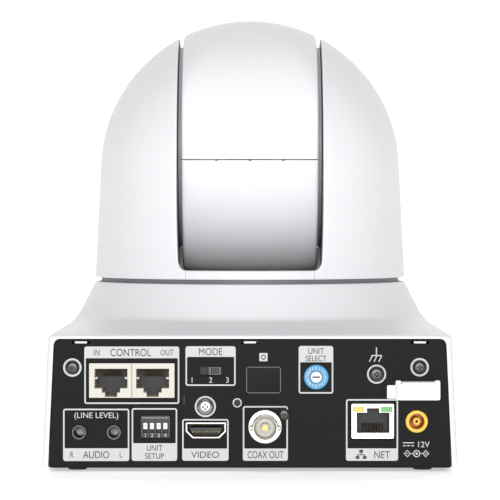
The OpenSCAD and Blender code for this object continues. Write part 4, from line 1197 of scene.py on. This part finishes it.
# each softbox: where it stands, where it points, its two sides in metres, its power in watts
SOFTBOXES = {
    "overhead_softbox": ((0, -0.5, 1.6), (0, -0.02, 0.08), (1.3, 1.0), 4),
    "front_softbox": ((0, -2.3, 0.45), (0, 0, 0.1), (0.7, 0.7), 7.5),
    "low_softbox": ((0, -1.9, 0.16), (0, 0, 0.1), (0.8, 0.28), 13.5),
    "backdrop_light": ((0, 1.4, 2.4), (0, 3.2, 0.8), (3.0, 1.0), 40),
}
VIEW_PLACE = (0, -1.096, 0.0946)
VIEW_LENS, VIEW_SENSOR = 188.9, 36
VIEW_PITCH = -0.657


def floor_and_backdrop():
    """Pale floor that curves up into the backdrop."""
    curve = [(BACKDROP_Y + BACKDROP_R * math.sin(a), BACKDROP_R - BACKDROP_R * math.cos(a))
             for a in map(math.radians, range(10, 91, 10))]
    profile = [(FLOOR_FRONT, 0.0), (BACKDROP_Y, 0.0), *curve, (BACKDROP_Y + BACKDROP_R, BACKDROP_TOP)]
    verts = [(x, y, z) for x in (-FLOOR_HALF, FLOOR_HALF) for y, z in profile]
    mesh = bpy.data.meshes.new("studio_floor")
    mesh.from_pydata([Vector(v) for v in verts], [], grid_faces(2, len(profile)))
    mesh.shade_smooth()
    paper = surface("studio_paper", srgb(250, 250, 250), 0.9, mottle=0.002, grain=0.02, specular=0.1)
    mesh.materials.append(glowing(paper, (1, 1, 1, 1), PAPER_GLOW))
    floor = add_object("studio_floor", mesh)


def area_light(name, place, target, size, power):
    """Rectangular softbox turned towards a target."""
    light = bpy.data.lights.new(name, "AREA")
    light.shape = "RECTANGLE"
    light.size, light.size_y = size
    light.energy = power
    obj = add_object(name, light)
    obj.location = place
    obj.rotation_euler = (Vector(target) - Vector(place)).to_track_quat("-Z", "Y").to_euler()


def lights():
    """Softboxes, an even dim surround and plain colour handling."""
    for name, settings in SOFTBOXES.items():
        area_light(name, *settings)
    world = bpy.data.worlds.new("studio")
    world.use_nodes = True
    background = world.node_tree.nodes["Background"]
    background.inputs["Color"].default_value = (1, 1, 1, 1)
    background.inputs["Strength"].default_value = WORLD_LIGHT
    bpy.context.scene.world = world
    bpy.context.scene.view_settings.view_transform = "Standard"


def camera():
    """Stands behind the camera body at lens height, a metre away, looking very slightly down."""
    data = bpy.data.cameras.new("photo_view")
    data.lens = VIEW_LENS
    data.sensor_width = VIEW_SENSOR
    obj = add_object("photo_view", data)
    obj.location = VIEW_PLACE
    obj.rotation_euler = (math.radians(90 + VIEW_PITCH), 0, 0)
    bpy.context.scene.camera = obj


# ---------- build ----------

camera()
lights()
floor_and_backdrop()
dress_cad_nodes()

base_cover()
rear_panel()
panel_printing()
screws()
serial_port_block()
network_socket()
video_socket()
coax_socket()
audio_jacks()
power_jack()
mode_switch()
setup_switch()
selector()
rear_window()
cable_clamp()

arm_cover(-1, "left_arm_shell", "left_arm_cover")
arm_cover(1, "right_arm_shell", "right_arm_cover")
chin_strip("rear_chin_strip", True, REAR_SILL)
chin_strip("front_chin_strip", False, FRONT_SILL)

drum_cover("drum_upper_shell", "drum_upper_cover", upper_angles)
drum_cover("drum_lower_shell", "drum_lower_cover", lower_angles)
seam_notches()
lens_parts()
